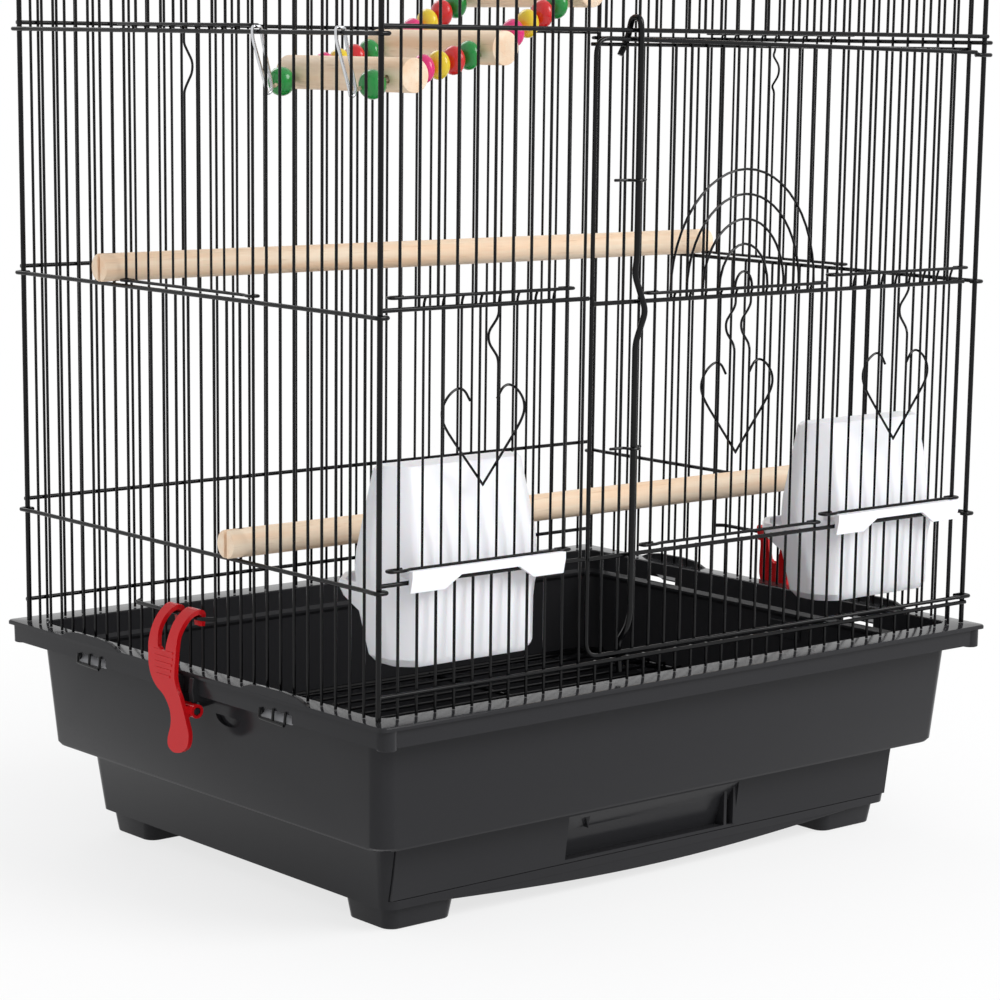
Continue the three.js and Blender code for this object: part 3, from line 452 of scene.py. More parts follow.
def fill_timber(tree, along):
    """Streak noise through a colour ramp, times pore noise through another."""
    place = node(tree, "TexCoord")
    stretch = node(tree, "Mapping")
    stretch.inputs["Scale"].default_value = [6.0 if k == along else 120.0 for k in range(3)]
    streak = node(tree, "TexNoise", Scale=1.0, Detail=6.0, Roughness=0.62)
    pores = node(tree, "Mapping")
    pores.inputs["Scale"].default_value = [60.0 if k == along else 900.0 for k in range(3)]
    dots = node(tree, "TexNoise", Scale=1.0, Detail=2.0)
    ramp = ramp_node(tree, (0.34, sizes().wood_dark), (0.64, sizes().wood_light))
    shade = ramp_node(tree, (0.26, (0.85, 0.80, 0.75)), (0.38, (1, 1, 1)))
    mix = node(tree, "Mix", data_type="RGBA", blend_type="MULTIPLY", Factor=1.0)
    bump = node(tree, "Bump", Strength=0.25, Distance=0.0003)
    link(tree, place, "Object", stretch, "Vector")
    link(tree, place, "Object", pores, "Vector")
    link(tree, stretch, "Vector", streak, "Vector")
    link(tree, pores, "Vector", dots, "Vector")
    link(tree, streak, "Fac", ramp, "Fac")
    link(tree, dots, "Fac", shade, "Fac")
    link(tree, ramp, "Color", mix, "A")
    link(tree, shade, "Color", mix, "B")
    link(tree, streak, "Fac", bump, "Height")
    return (mix, "Result"), (bump, "Normal")


def paint(key):
    """The material of one row of PAINTS, made once. A texture group gives its normal, its
    colour where it has one, and a roughness that varies a little with its mask."""
    _, name, colour, roughness, texture, inputs = PAINTS[key]
    mat = bpy.data.materials.get(name)
    if mat:
        return mat
    mat = bpy.data.materials.new(name)
    mat.use_nodes = True
    if isinstance(colour, str):
        colour = getattr(sizes(), colour)
    mat.diffuse_color = (*colour, 1)
    tree = mat.node_tree
    shader = tree.nodes["Principled BSDF"]
    shader.inputs["Base Color"].default_value = (*colour, 1)
    shader.inputs["Roughness"].default_value = roughness
    for label, value in inputs.items():
        shader.inputs[label].default_value = value
    if texture:
        build, *values = texture
        effect = node(tree, "Group", node_tree=build(*values))
        link(tree, effect, "Normal", shader, "Normal")
        if "Colour" in effect.outputs:
            link(tree, effect, "Colour", shader, "Base Color")
        if "Mask" in effect.outputs:
            vary = node(tree, "MapRange", **{"To Min": roughness - 0.03, "To Max": roughness + 0.04})
            link(tree, effect, "Mask", vary, "Value")
            link(tree, vary, "Result", shader, "Roughness")
    return mat


BEAD_COLOURS = {
    "green": (0.006, 0.260, 0.040),
    "red": (0.640, 0.010, 0.012),
    "yellow": (0.820, 0.600, 0.020),
    "pink": (0.760, 0.020, 0.180),
}


WOOD = (0.74, 0.53, 0.34)
MATT_BLACK = {"Specular IOR Level": 0.12}
PAINTS = {  # slot, material, a setting or a colour, roughness, texture and its axis, other inputs
    "wire": ("wire_black", "Black coated wire", "wire_colour", 0.12, (coating_group,),
             {"Specular IOR Level": 0.2}),
    "base": ("base_plastic", "Charcoal plastic", "base_colour", 0.13, (moulding_group,), MATT_BLACK),
    "drawer": ("drawer_plastic", "Charcoal plastic drawer", "drawer_colour", 0.17, (moulding_group,),
               MATT_BLACK),
    # The sill is base plastic; its pale grey is painted sheen, standing in for the light that the black
    # ledges in the windows reflect.
    "sill": ("base_plastic", "Pale sill", (0.30, 0.30, 0.31), 0.4, None, {}),
    "white": ("white_plastic", "White plastic", "feeder_colour", 0.32, (moulding_group,),
              {"Subsurface Weight": 0.15, "Subsurface Scale": 0.004}),
    "clip": ("red_plastic", "Red plastic", "clip_colour", 0.2, (moulding_group,),
             {"Specular IOR Level": 0.2, "Subsurface Weight": 0.1, "Subsurface Scale": 0.003}),
    "wood_across": ("pale_wood", "Pale wood across", WOOD, 0.62, (timber_group, "Grain Pale wood across", 0),
                    {}),
    "wood_along": ("pale_wood", "Pale wood along", WOOD, 0.62, (timber_group, "Grain Pale wood along", 1),
                   {}),
    "steel": ("steel", "Bright steel", (0.62, 0.63, 0.65), 0.18, (coating_group,), {"Metallic": 1.0}),
    "cord": ("bead_paint", "Cord", (0.55, 0.45, 0.30), 0.8, (moulding_group,), {}),
}
for colour, value in BEAD_COLOURS.items():
    PAINTS["bead_" + colour] = ("bead_paint", f"Bead {colour}", value, 0.2, (coating_group,),
                                {"Coat Weight": 0.25, "Coat Roughness": 0.05})


# ---- Base and drawer ----
def build_base():
    """Outer and inner walls are rounded rectangles lofted through the moulding's heights;
    windows, side slots and the drawer's opening are cut through them."""
    outer = [(29, PLINTH_Z, 8), (24.4, STEP_Z - 1.2, 10), (23.6, STEP_Z, 10), (11, STEP_Z, 13),
             (9, STEP_Z + 0.7, 13), (8, STEP_Z + 2.4, 12), (3.4, -3.1, 10), (2.6, -2.5, 10),
             (-4.2, -2.5, 4, 4.2 - FRONT_REACH),
             (-4.4, -12, 4, 4.0 - FRONT_REACH), (-6.0, -12, 5, 2.4 - FRONT_REACH),
             (-6.2, -2.6, 5, 2.2 - FRONT_REACH), (-SIDE_REACH, -2.4, 3.5, -FRONT_REACH),
             (-SIDE_REACH, -0.8, 3.5, -FRONT_REACH), (0.5 - SIDE_REACH, -0.1, 3.5, 0.5 - FRONT_REACH),
             (1.2 - SIDE_REACH, 0, 3.5, 1.2 - FRONT_REACH)]
    inner = [(31.3, PLINTH_Z + 5, 6), (26.5, LEDGE_Z, 8), (TUB_INSET + 2, LEDGE_Z, 10),
             (TUB_INSET, LEDGE_Z + 2, 10), (6.9, -18, 8), (8.4, -16, 7), (8.4, -14.5, 7),
             (6.1, -12.5, 8), (5.6, -0.6, 8), (5.0, 0, 8)]
    rows = [rounded_plan(*r) for r in outer + inner[::-1]]
    obj = make("base_moulding", [skin(rows)], "base", "cage", ("base_tub",))
    for side in (left, right):
        for y in WINDOWS:
            ring = [(y, 7.6), (y + 27, 7.6), (y + 27, 13), (y, 13)]
            cut(obj, plate(ring, -8, SIDE_REACH + 2, lambda u, v, d: side(u, d, -v)))
        slot = arc(139.5, -23, 11.5, 180, 360, 16) * (1, 0.5) + (0, -11.5)
        cut(obj, plate(slot, -12, 2, flat_on(side)))
    cut(obj, block((31, 20, PLINTH_Z + 5), (W - 31, 33, STEP_Z - 1.5)))
    cut(obj, block((38, 38, PLINTH_Z - 1), (W - 38, D - 38, PLINTH_Z + 2.5)))
    round_edges(obj, 0.7)
    extras = []
    t = np.linspace(0, 1, 33)
    bow = list(zip(60 + t * (W - 120), PLINTH_Z - 7 * np.sin(np.pi * t) - 0.02))
    bow += [(W - 60, PLINTH_Z + 1), (60, PLINTH_Z + 1)]
    extras.append(plate(bow, 29.3, 36, seen_from_front))
    for x0, x1 in ((35, 79), (W - 79, W - 35)):
        for y0, y1 in ((35, 73), (D - 73, D - 35)):
            rows = [rounded_box(x0 - grow, x1 + grow, y0 - grow, y1 + grow, 7, z, 6)
                    for grow, z in ((0, -H), (1.9, PLINTH_Z + 0.4))]
            extras.append(skin(rows))
    for side in (left, right):
        for y in WINDOWS:
            outline = [(y - 18, -1), (y + 48, -1), (y + 38, 2.6), (y + 28, 4.0), (y + 6, 4.2), (y - 7, 3.2)]
            extras.append(plate(outline, 5.0, SIDE_REACH - 0.2, flat_on(side)))
        for y, low in ((151.5, -15.6), (166.0, -23.0)):
            lug = [(-4.6, -2), (9.4, -2), (10.4, -9), (9.4, low), (-2.6, low)]
            extras.append(plate(lug, y, y + 4, across(side)))
        # Black plate behind each side slot: painted shade, so the slot reads dark and nothing bright shows
        # through it.
        slot_shade_plate = [(126, -31), (153, -31), (153, -20), (126, -20)]
        extras.append(plate(slot_shade_plate, -8.6, -7.4, flat_on(side)))
        extras.append(run(side, [(149, 8.6, -20), (168, 8.6, -20)], 1.9, sides=16))
    for x in (0, W):
        for y in (-7, D + 7):
            extras.append(tube([(x, y, -13.2), (x, y, -1)], 5.3, 24))
    trim = make("base_feet_and_guards", extras, "base", "cage", ())
    round_edges(trim, 0.8)
    sills, hooks = [], []
    for side in (left, right):
        for y in WINDOWS:
            sill = [(1.5, -7.4), (6.4, -12.3), (5.9, -12.7), (1.1, -7.8)]
            sills.append(plate(sill, y - 0.5, y + 27.5, across(side)))
            lower = [(y + 27, 7.0, -7.8), (y + 27, 7.6, -13.2), (y + 4, 8.2, -13.6)]
            hooks.append(run(side, lower, 0.8, 1.5))
            hooks += [run(side, [(y + s, 6.6, -6.5), (y + s, 7.4, -13.4)], 0.8) for s in (4.6, 15.4)]
    # The sills take a pale grey paint: painted sheen in the windows, not the plastic's own colour.
    make("window_sills", sills, "sill", "cage", ())
    make("window_hooks", hooks, "wire", "cage", ())
    return obj


def build_drawer():
    """Slanted front between the plinth's corners with a recessed grip, and the tray behind."""
    z0 = PLINTH_Z + 5.35
    z1 = z0 + 27
    top = STEP_Z - 1.9
    face = lambda z: 24.2 + (STEP_Z - z) * 5 / 38.5
    section = [(face(z0), z0), (face(top), top), (face(top) + 3, top), (32.6, z1), (32.6, z0)]
    parts = [plate(section, 31.5, W - 31.5, seen_from_side)]
    obj = make("drawer", parts, "drawer", "drawer", ("drawer",))
    g0 = W / 2 - 69
    g1 = g0 + 131
    add(obj, block((34, 32, z0), (W - 34, 300, z1)))
    cut(obj, block((36, 35, z0 + 2), (W - 36, 298, z1 + 1)))
    add(obj, block((g0 - 2, 32, z0), (g1 + 2, 44, z1 - 2)))
    scoop = [(20, top - 4), (face(top - 4) + 0.1, top - 4), (31, z1 - 9), (36, z0 + 2), (20, z0 + 2)]
    cut(obj, plate(scoop, g0, g1, seen_from_side))
    notch = [(g0 + 13, top - 5), (g0 + 17, top - 5), (g0 + 15.6, top - 13)]
    ribs = [block((g1 - 8.5, 28.2, z0 + 2), (g1 - 6.4, 42, top - 9)),
            block((g1 - 2.4, 27.0, z0 + 2), (g1 + 0.5, 42, top - 7)),
            plate(notch, 26.6, 42, seen_from_front)]
    for rib in ribs:
        add(obj, rib)
    round_edges(obj, 0.6)
    return obj


# ---- Wire panels ----
def make_wires(name, parts, stands_for, body="cage"):
    """Wire piece on a body, in place of one node."""
    return make(name, parts, "wire", body, (stands_for,))


def build_front():
    """Bars carried along the wall at each level, and an upright at every place in front_x,
    left out between two bars where a door closes the opening."""
    parts = [bar(front, -0.5, W + 0.5, z) for z in (FOOT, HIGH, EAVE)]
    parts += [bar(front, -0.5, BAY + 1, z) for z in (LOW, MID)]
    last = len(front_x) - 1
    for i, x in enumerate(front_x):
        if i in (0, last):
            parts.append(upright(front, x, 0.3, EAVE + 1, radius=CORNER_R))
        elif i in (1, LEFT_N - 1, LEFT_N):
            parts.append(upright(front, x, 0.3, EAVE + 1))
        elif i < LEFT_N:
            parts += [upright(front, x, 0.3, LOW + 0.8), upright(front, x, MID - 0.8, EAVE + 1)]
        else:
            parts += [upright(front, x, 0.3, FOOT + 0.8), upright(front, x, HIGH - 0.8, EAVE + 1)]
    return make_wires("front_wires", parts, "front_panel")


def build_back():
    """Full height uprights at the places of front_x, with bars at every level."""
    parts = [bar(back, -0.5, W + 0.5, z) for z in (FOOT, LOW + 2.5, MID, HIGH, EAVE)]
    last = len(front_x) - 1
    for i, x in enumerate(front_x):
        corner = i in (0, last)
        parts.append(upright(back, x, 0.3, EAVE + 1, radius=CORNER_R if corner else None))
    return make_wires("back_wires", parts, "back_panel")


def slope_z(y, lower=0.0):
    """Height of the roof wires above depth y, less a distance measured across the slope."""
    return ROOF_START + min(y, D - y) * tan(SLOPE) - lower / cos(SLOPE)


def build_side(name, side):
    """Bars whose ends bend round the corner wires, uprights a pitch apart up to the slope,
    a wire bent along the gable, and a bracket that the clip holds."""
    drop = wire_r("upright") + wire_r("bar") + 0.4
    h = CORNER_R + wire_r("bar") + 0.4
    levels = [z - DROP for z in (LOW, MID, HIGH, EAVE)]
    parts = []
    for z in levels:
        hook = [(0.6, -h, z), (-h, -h, z), (-h, h + 0.2, z), (9, 2.1, z)]
        parts.append(run(side, hook + [(D - s, n, q) for s, n, q in hook[::-1]], wire_r("bar"), 2.2, 12))
    for j in range(1, SIDE_N):
        y = j * SIDE_PITCH
        top = slope_z(y, drop)
        if abs(y - D / 2) < GATE - 1:
            parts += [upright(side, y, 0.3, levels[1] + 0.8), upright(side, y, levels[2] - 0.8, top)]
        else:
            parts.append(upright(side, y, 0.3, top))
    start = SIDE_PITCH - 1.5
    gable = [(start, 2, slope_z(start, drop)), (D / 2, 2, slope_z(D / 2, drop)),
             (D - start, 2, slope_z(start, drop))]
    parts.append(run(side, gable, wire_r("bar"), 5, 12))
    parts.append(run(side, [(144, 0.4, 31), (148, 6.2, 31), (212, 6.2, 31), (216, 0.4, 31)], 1.2, 3))
    return make_wires(name.replace("_panel", "_wires"), parts, name)


def build_roof():
    """One wire for each upright of the walls, folded over the ridge, and three long wires."""
    ridge = slope_z(D / 2) + 1 / cos(SLOPE) + 0.8
    parts = [bar(side, -0.5, W + 0.5, EAVE + 2.9) for side in (front, back)]
    parts.append(tube([(-0.5, D / 2, ridge), (W + 0.5, D / 2, ridge)], wire_r("bar"), 12))
    y0, z0 = -1.2 * cos(SLOPE), ROOF_START - 1.2 * sin(SLOPE)
    for x in front_x:
        fold = soften([(x, y0, z0), (x, D / 2, slope_z(D / 2)), (x, D - y0, z0)], 2.0, 3)
        parts.append(tube(fold, wire_r("upright")))
    return make_wires("roof_wires", parts, "roof_panel")


def build_ring():
    """Carrying ring: one bent wire whose open eyes turn on the ridge."""
    ridge = slope_z(D / 2) + 1 / cos(SLOPE) + 0.8
    xa = BAY + 4.5 * DOOR_PITCH
    xb = xa + 7 * DOOR_PITCH
    top, r = ridge + 42, 1.6
    e = 1.3 + 0.35 + r
    parts = []
    eye = lambda x: [(x, D / 2 + e * sin(a), ridge - e * cos(a)) for a in np.linspace(-2.6, 2.6, 15)]
    path = [(xa, D / 2, ridge + 8), (xa, D / 2, top), (xb, D / 2, top), (xb, D / 2, ridge + 8)]
    parts.append(tube(soften(path, 13, 8), r, 12))
    for x in (xa, xb):
        loop = [(x, D / 2, ridge + 8)] + [(x, y, z) for x, y, z in eye(x)][::-1]
        parts.append(tube(soften(loop, 0.5, 1), r, 12))
    return make_wires("carrying_ring", parts, "carry_ring", "carry_ring")


def build_grate():
    """Rim wire bent round the corners, with cross wires laid on it a pitch apart."""
    edge, rim = TUB_INSET + 2.6, 2.0
    z = LEDGE_Z + 0.3 + rim
    corners = [(edge, edge), (W - edge, edge), (W - edge, D - edge), (edge, D - edge)]
    path = soft_loop([(x, y, z) for x, y in corners], 7)
    parts = [tube(path, rim, 12, closed=True)]
    pitch = (D - 2 * edge) / GRATE_ROWS
    for i in range(1, GRATE_ROWS):
        y = edge + i * pitch
        parts.append(tube([(edge - 0.2, y, z + rim + 0.7), (W - edge + 0.2, y, z + rim + 0.7)], 1.0))
    for k in (1 / 3, 2 / 3):
        x = edge + k * (W - 2 * edge)
        parts.append(tube([(x, edge, z), (x, D - edge, z)], 1.2))
    return make_wires("grate_wires", parts, "grate")


# ---- Doors ----
def build_front_door():
    """Frame wire with two loops round the corner wire, its own bars and uprights, and two
    keepers for the latch rod."""
    h = CORNER_R + 1.2 + 0.4
    n = 1.5
    low_hook = [(W - 9, n, DOOR_B), (W - 7, h, DOOR_B), (W + h, h, DOOR_B), (W + h, -h, DOOR_B),
                (W - h - 0.5, -h, DOOR_B)]
    loop = INNER_TOP - 3.2
    high_hook = [(s, m, loop) for s, m, _ in low_hook]
    outline = low_hook[::-1] + [(DOOR_L, n, DOOR_B), (DOOR_L, n, DOOR_T), (DOOR_R + 2, n, DOOR_T),
                                (DOOR_R + 4.5, n, loop + 0.5)]
    outline += high_hook[1:]
    path = soften([front(*p) for p in outline[:5]], 1.8, 3)[:-1]
    corner = soften([front(*p) for p in outline[4:8]], 9, 8)[1:]
    tail = soften([front(*p) for p in outline[7:]], 1.8, 3)
    whole = np.vstack([path, corner[:-1], tail[1:]])
    parts = [tube(whole, 1.2, 12), upright(front, DOOR_R, DOOR_B - 0.8, DOOR_T + 0.3, radius=1.2)]
    parts.append(bar(front, DOOR_L - 0.3, DOOR_R + 0.5, INNER_TOP, -1.5, 1.0))
    parts += [bar(front, DOOR_L - 0.3, DOOR_R + 0.5, z) for z in (LOW - 0.5, MID - 3)]
    for k in range(1, DOOR_BAYS):
        x = DOOR_L + k * INNER
        if 4 < k < 15 or k > 16:
            parts += [upright(front, x, DOOR_B - 0.8, LOW + 0.3),
                      upright(front, x, MID - 3.8, INNER_TOP + 0.8)]
        else:
            parts.append(upright(front, x, DOOR_B - 0.8, INNER_TOP + 0.8))
    x = DOOR_L + 2.4 * INNER
    for z in (MID + 61, LOW + 57.5):
        out = 8.3
        keeper = [(x - 13, 1.3, z), (x - 3.3, 1.3, z), (x - 2.9, out, z), (x + 2.9, out, z),
                  (x + 3.3, 1.3, z), (x + 9, 1.3, z)]
        parts.append(run(front, keeper, 0.8, 2.2, 8))
    return make_wires("front_door", parts, "front_door", "front_door")


def build_latch():
    """Rod along the door stile: straight runs with a handle at the top and a kink midway."""
    x, n = DOOR_L + 2.4 * INNER, 5.4
    path = [(x - 4, -6.5, HIGH - 13), (x, -5, HIGH - 4), (x, -2, HIGH + 6.6), (x, n - 1, HIGH + 6.6),
            (x, n, HIGH), (x, n, MID + 20), (x - 1.5, n, MID + 12), (x + 7, n, MID - 8),
            (x, n, MID - 25), (x, n, DOOR_B + 21), (x - 1, n - 1, DOOR_B + 14),
            (x - 1, -2.4, DOOR_B + 5), (x, -2.4, FOOT - 8)]
    return make_wires("latch_rod", [run(front, path, wire_r("latch"), 4, 14)], "latch_rod", "latch_rod")


def kink(top):
    """Side step near the head of a sliding door wire, as offset, depth and height."""
    return [(0, -0.4, top - 36), (0.5, -2.0, top - 33), (-5.2, -2.0, top - 26), (-5.6, -2.0, top - 20.5),
            (0, -2.0, top - 14), (0, -0.4, top - 11)]


def sliding_door(side, guides, guide_r, ends, wires, top, bottom, bend, kinks):
    """Two cross bars with eyes round the guide wires, and uprights that slide behind the
    fixed bars and lean out to the top bar."""
    r = 0.9
    (g0, g1), eye = guides, guide_r + 0.4 + r
    e0, e1 = g0 - ends[0], g1 + ends[1]
    low = -0.4 + 0.8 + r - 0.5
    dip = [(g0 + 3, eye), (g0 + 6, low), (g1 - 6, low), (g1 - 3, eye)]
    parts = []
    for z, middle in ((top, []), (bottom, dip)):
        path = [(g0 + 4, -eye), (e0, -eye), (e0, eye), *middle, (e1, eye), (e1, -eye), (g1 - 3.5, -eye)]
        parts.append(run(side, [(s, n, z) for s, n in path], r, 2.0))
    for k, s in enumerate(wires):
        bent = [(s + ds, n, z) for ds, n, z in kink(kinks[k])] if k in kinks else []
        path = [(s, -0.4, bottom - 0.4)] + bent + [(s, -0.4, bend), (s, eye - 0.8, top + 0.3)]
        parts.append(run(side, path, wire_r("door"), 2.8, 8))
    return parts


def heart(side, s, tip):
    """Smooth curve from one shoulder down to the tip, and its mirror image back up."""
    half = [(9, 44), (13, 49.5), (18, 50.5), (24, 46.5), (27.5, 39.5), (25, 31), (12, 14.5)]
    curve = [(s - u, -1.85, tip + v) for u, v in half]
    legs = spline([side(*p) for p in curve], 5)
    other = spline([side(*p) for p in [(2 * s - u, n, z) for u, n, z in curve][::-1]], 5)
    return tube(np.vstack([legs, [side(s, -1.85, tip)], other]), wire_r("door"), 8)


def build_feeder_door(name, guides, step, offset, top, bottom, guide_r, bend):
    """Eight uprights between two cross bars, with a heart."""
    wires = [guides[0] + step + offset + k * step for k in range(8)]
    parts = sliding_door(front, guides, guide_r, (6.4, 3.4), wires, top, bottom, bend, {4: top})
    parts.append(heart(front, sum(guides) / 2 + 1.2, bottom + 39))
    return make_wires(name, parts, name, name)


def build_arch_door():
    """Ten uprights, with half ellipses of falling size one inside the other, and a heart."""
    g0, g1 = DOOR_L + 4 * INNER, DOOR_L + 15 * INNER
    top, bottom = MID - 3 + 3.9, LOW - 0.5 + 3.6
    wires = [g0 + INNER + 2.6 + k * INNER for k in range(10)]
    parts = sliding_door(front, (g0, g1), 1.0, (6.4, 2.3), wires, top, bottom, MID - 1.6,
                         {4: top + 2, 5: top + 2})
    centre = (g0 + g1) / 2
    for half, rise in ((55, 64.5), (43, 51), (31, 37.5), (18.5, 24), (6.5, 9)):
        t = np.linspace(0, np.pi, 25 if half > 20 else 13)
        curve = [front(centre - half * cos(a), 2.15, top + rise * sin(a)) for a in t]
        parts.append(tube(curve, wire_r("door"), 8))
    parts.append(heart(front, centre + 1, bottom + 45))
    return make_wires("arch_door", parts, "arch_door", "arch_door")


def build_side_door(name, side):
    """Nine uprights between two cross bars."""
    guides = (D / 2 - GATE, D / 2 + GATE)
    top = HIGH - DROP + 3.4
    wires = [guides[0] + SIDE_PITCH + 2.6 + k * SIDE_PITCH for k in range(9)]
    parts = sliding_door(side, guides, 1.3, (2.3, 2.3), wires, top, MID - DROP + 3, HIGH - DROP + 1.4,
                         {4: top + 1})
    return make_wires(name, parts, name, name)


# ---- Clips, feeders, perches ----
def build_clip(name, side):
    """Body with a thumb paddle pushed out from a smooth outline, two prongs carried along an
    arch over the side wire, grip ribs, and a knuckle round the base's pin."""
    y, face, wire, top = 149.0, CLIP_FACE, 6.2, 32.9
    points = [(36.6, 13), (36.7, 2), (34.2, -5), (29, -10), (21.2, -13.5), (15.5, -21), (14.9, -28.5),
              (18.5, -36.8), (18.6, -41.3), (14, -44.2), (6, -43.5), (-1.2, -38.5), (-2.4, -31.3),
              (0.6, -24.4), (3.1, -18.9), (5.6, -13.4), (9.4, -8.1), (11.7, -2.6), (10.6, 6.6),
              (9.6, 13), (19, 13), (21, 10.6), (24.4, 10.6), (26.6, 13)]
    outline = soft_loop([(y + u, 0, v) for u, v in points], 4)
    obj = make(name, [plate(outline[:, [0, 2]], face, face + 2.6, flat_on(side))], "clip", name, (name,))
    outer = [(face + 2.6, 9), (face + 2.6, 14), (face + 1.7, 21), (face - 0.4, 27.5), (wire + 4, 32.4),
             (wire + 0.8, 35.6), (wire - 2.2, 35.6), (wire - 4.0, 33.9), (wire - 4.2, 30.5),
             (wire - 4.0, 26.5)]
    inner = [(face, 9), (face, 14), (face - 0.8, 20.3), (face - 2.6, 26), (wire + 2.3, 30.7),
             (wire + 0.4, top), (wire - 0.9, top), (wire - 1.6, 32.2), (wire - 1.7, 30),
             (wire - 1.9, 26.5)]
    near = [(10.5, 20), (9.5, 19.4), (9, 17.6), (7.2, 16.2), (4.8, 14.2), (2, 12.5), (1.4, 11.6),
            (1.2, 10.4), (1.4, 9.2), (1.8, 8.6)]
    far = [(26, 36.5), (27.3, 36.4), (27.8, 35.2), (26.7, 33.8), (24.4, 32.2), (21.8, 30.7), (21.2, 29.8),
           (21.2, 28.8), (21.6, 27.8), (22, 27.2)]
    for edges in (near, far):
        lines = [spline([side(y + e[k], n, z) for e, (n, z) in zip(edges, rim)], 3)
                 for rim, k in ((outer, 0), (outer, 1), (inner, 1), (inner, 0))]
        add(obj, skin(np.stack(lines, 1)))
    block_at = [((y + 2.4, 11.5, -23), (y + 12.8, face + 0.5, -17))]
    for k in range(5):
        z = -3.2 + 3.4 * k
        block_at.append(((y + 15.5 - 0.8 * k, face + 2.2, z), (y + 29 + 0.5 * k, face + 2.95, z + 1.2)))
    for lo, hi in block_at:
        p, q = side(*lo), side(*hi)
        add(obj, block(np.minimum(p, q), np.maximum(p, q)))
    for r, grow, change in ((3.9, 0, add), (2.25, 1, cut)):
        ring = arc(8.6, -20, r, 0, 345, 23)
        change(obj, plate(ring, y + 0.2 - grow, y + 16.4 + grow, across(side)))
    round_edges(obj, 0.5)
    return obj


def build_feeder(name, body, guides):
    """Cup and hood lofted through soft-cornered sections, hollowed and opened at the back,
    with the lip that hangs on the wire."""
    c = sum(guides) / 2
    rows = [(23.3, 44.5, 8, 40, 8, 8), (27.5, 48.5, 5.6, 43.5, 10, 10), (50, 51.5, 4.8, 50, 14, 12),
            (57, 54, 4.6, 64, 16, 16), (63, 56, 4.6, 66, 16, 16), (74, 57, 4.8, 56, 18, 14),
            (86, 56, 6, 42, 17, 8), (124.6, 46.5, 14.4, 37, 10, 4), (126.6, 44.5, 15.8, 35, 9, 4)]

    def section(row, inset, z):
        # rectangle with its corners cut off and then softened
        _, half, y0, y1, fr, bk = row
        w, a, b = half - inset, y0 + inset, y1 - inset
        ring = [(c - w + fr, a), (c + w - fr, a), (c + w, a + fr), (c + w, b - bk),
                (c + w - bk, b), (c - w + bk, b), (c - w, b - bk), (c - w, a + fr)]
        return soft_loop([(u, v, z) for u, v in ring], 2.6, 3)

    obj = make(name, [skin([section(r, 0, r[0]) for r in rows])], "white", body, (name,))
    hollow = [section(r, 2, r[0] + 2.2 if k == 0 else r[0] - 0.4) for k, r in enumerate(rows[:-1])]
    cut(obj, skin(hollow))
    cut(obj, block((c - 70, 34, 66), (c + 70, 80, 130)))
    add(obj, block((c - 51, -6, 72.6), (c + 51, 6, 75.4)))
    lip = [(-51.5, 77), (51.5, 77), (51.5, 65.4), (30.9, 65.4), (19.8, 72.3), (-19, 72.3), (-28.7, 65.4),
           (-51.5, 65.4)]
    lip = [(c + u, v) for u, v in lip]
    add(obj, plate(lip, -7, -3.75, seen_from_front))
    cut(obj, plate([(-7.6, 73.4), (-7, 73.4), (-5, 64), (-7.6, 64)], c - 60, c + 60, seen_from_side))
    round_edges(obj, 0.6)
    return obj


def dowel(start, end, radius, ease=0.9, sides=40):
    """Turned stick between two points: a circle along the axis, eased at both ends."""
    a, b = np.array(start, float), np.array(end, float)
    d = (b - a) / np.linalg.norm(b - a)
    u = np.array([0, 0, 1.0])
    v = np.cross(d, u)
    t = np.linspace(0, 2 * np.pi, sides, endpoint=False)
    rings = []
    for along, r in ((0, radius - ease), (0.3 * ease, radius - 0.3 * ease), (ease, radius)):
        rings.append((along, r))
    rings += [(np.linalg.norm(b - a) - along, r) for along, r in rings[::-1]]
    return skin([a + d * s + r * (np.cos(t)[:, None] * u + np.sin(t)[:, None] * v) for s, r in rings])


def build_perch(name, y, z):
    """Dowel from wall to wall, with a slot over the wires at each end."""
    obj = make(name, [dowel((-10, y, z), (W + 10, y, z), PERCH_R, 0.6)], "wood_across", "cage", (name,))
    for x0, x1 in ((-12, 2.2), (W - 2.2, W + 12)):
        cut(obj, block((x0, y - 1.3, z - 10), (x1, y + 1.3, z + 10)))
    return obj


# ---- Toy ----
def toy_z(x):
    """Height of the toy's cords: a straight rise with a late share, so they hang slack."""
    t = (x - TOY_START) / (W - CORD_END - TOY_START)
    start = HIGH - 24
    sway = np.interp(x, [TOY_START, 62, 92, 122, 151, 269, 387], [0, -2.5, -3.6, 2.5, 8, 5, 0])
    return start + (EAVE - 24 - start) * t * (1 - 0.158 + 0.158 * t) + sway


def rung_x(k):
    """Rungs at even steps between the first and the last."""
    return TOY_START + k * (W - 90) / (RUNGS - 1)


def bead(centre, length, radius, sides=20, rows=10):
    """Bored ball: an ellipse turned about X with flat ends at the bore."""
    t = np.linspace(0.22, pi - 0.22, rows)
    a = np.linspace(0, 2 * np.pi, sides, endpoint=False)
    rings = []
    for s in t:
        x, r = -cos(s) / cos(0.22) * length / 2, radius * sin(s)
        rings.append(np.stack([np.full(sides, x), r * np.cos(a), r * np.sin(a)], 1) + centre)
    return skin(rings)


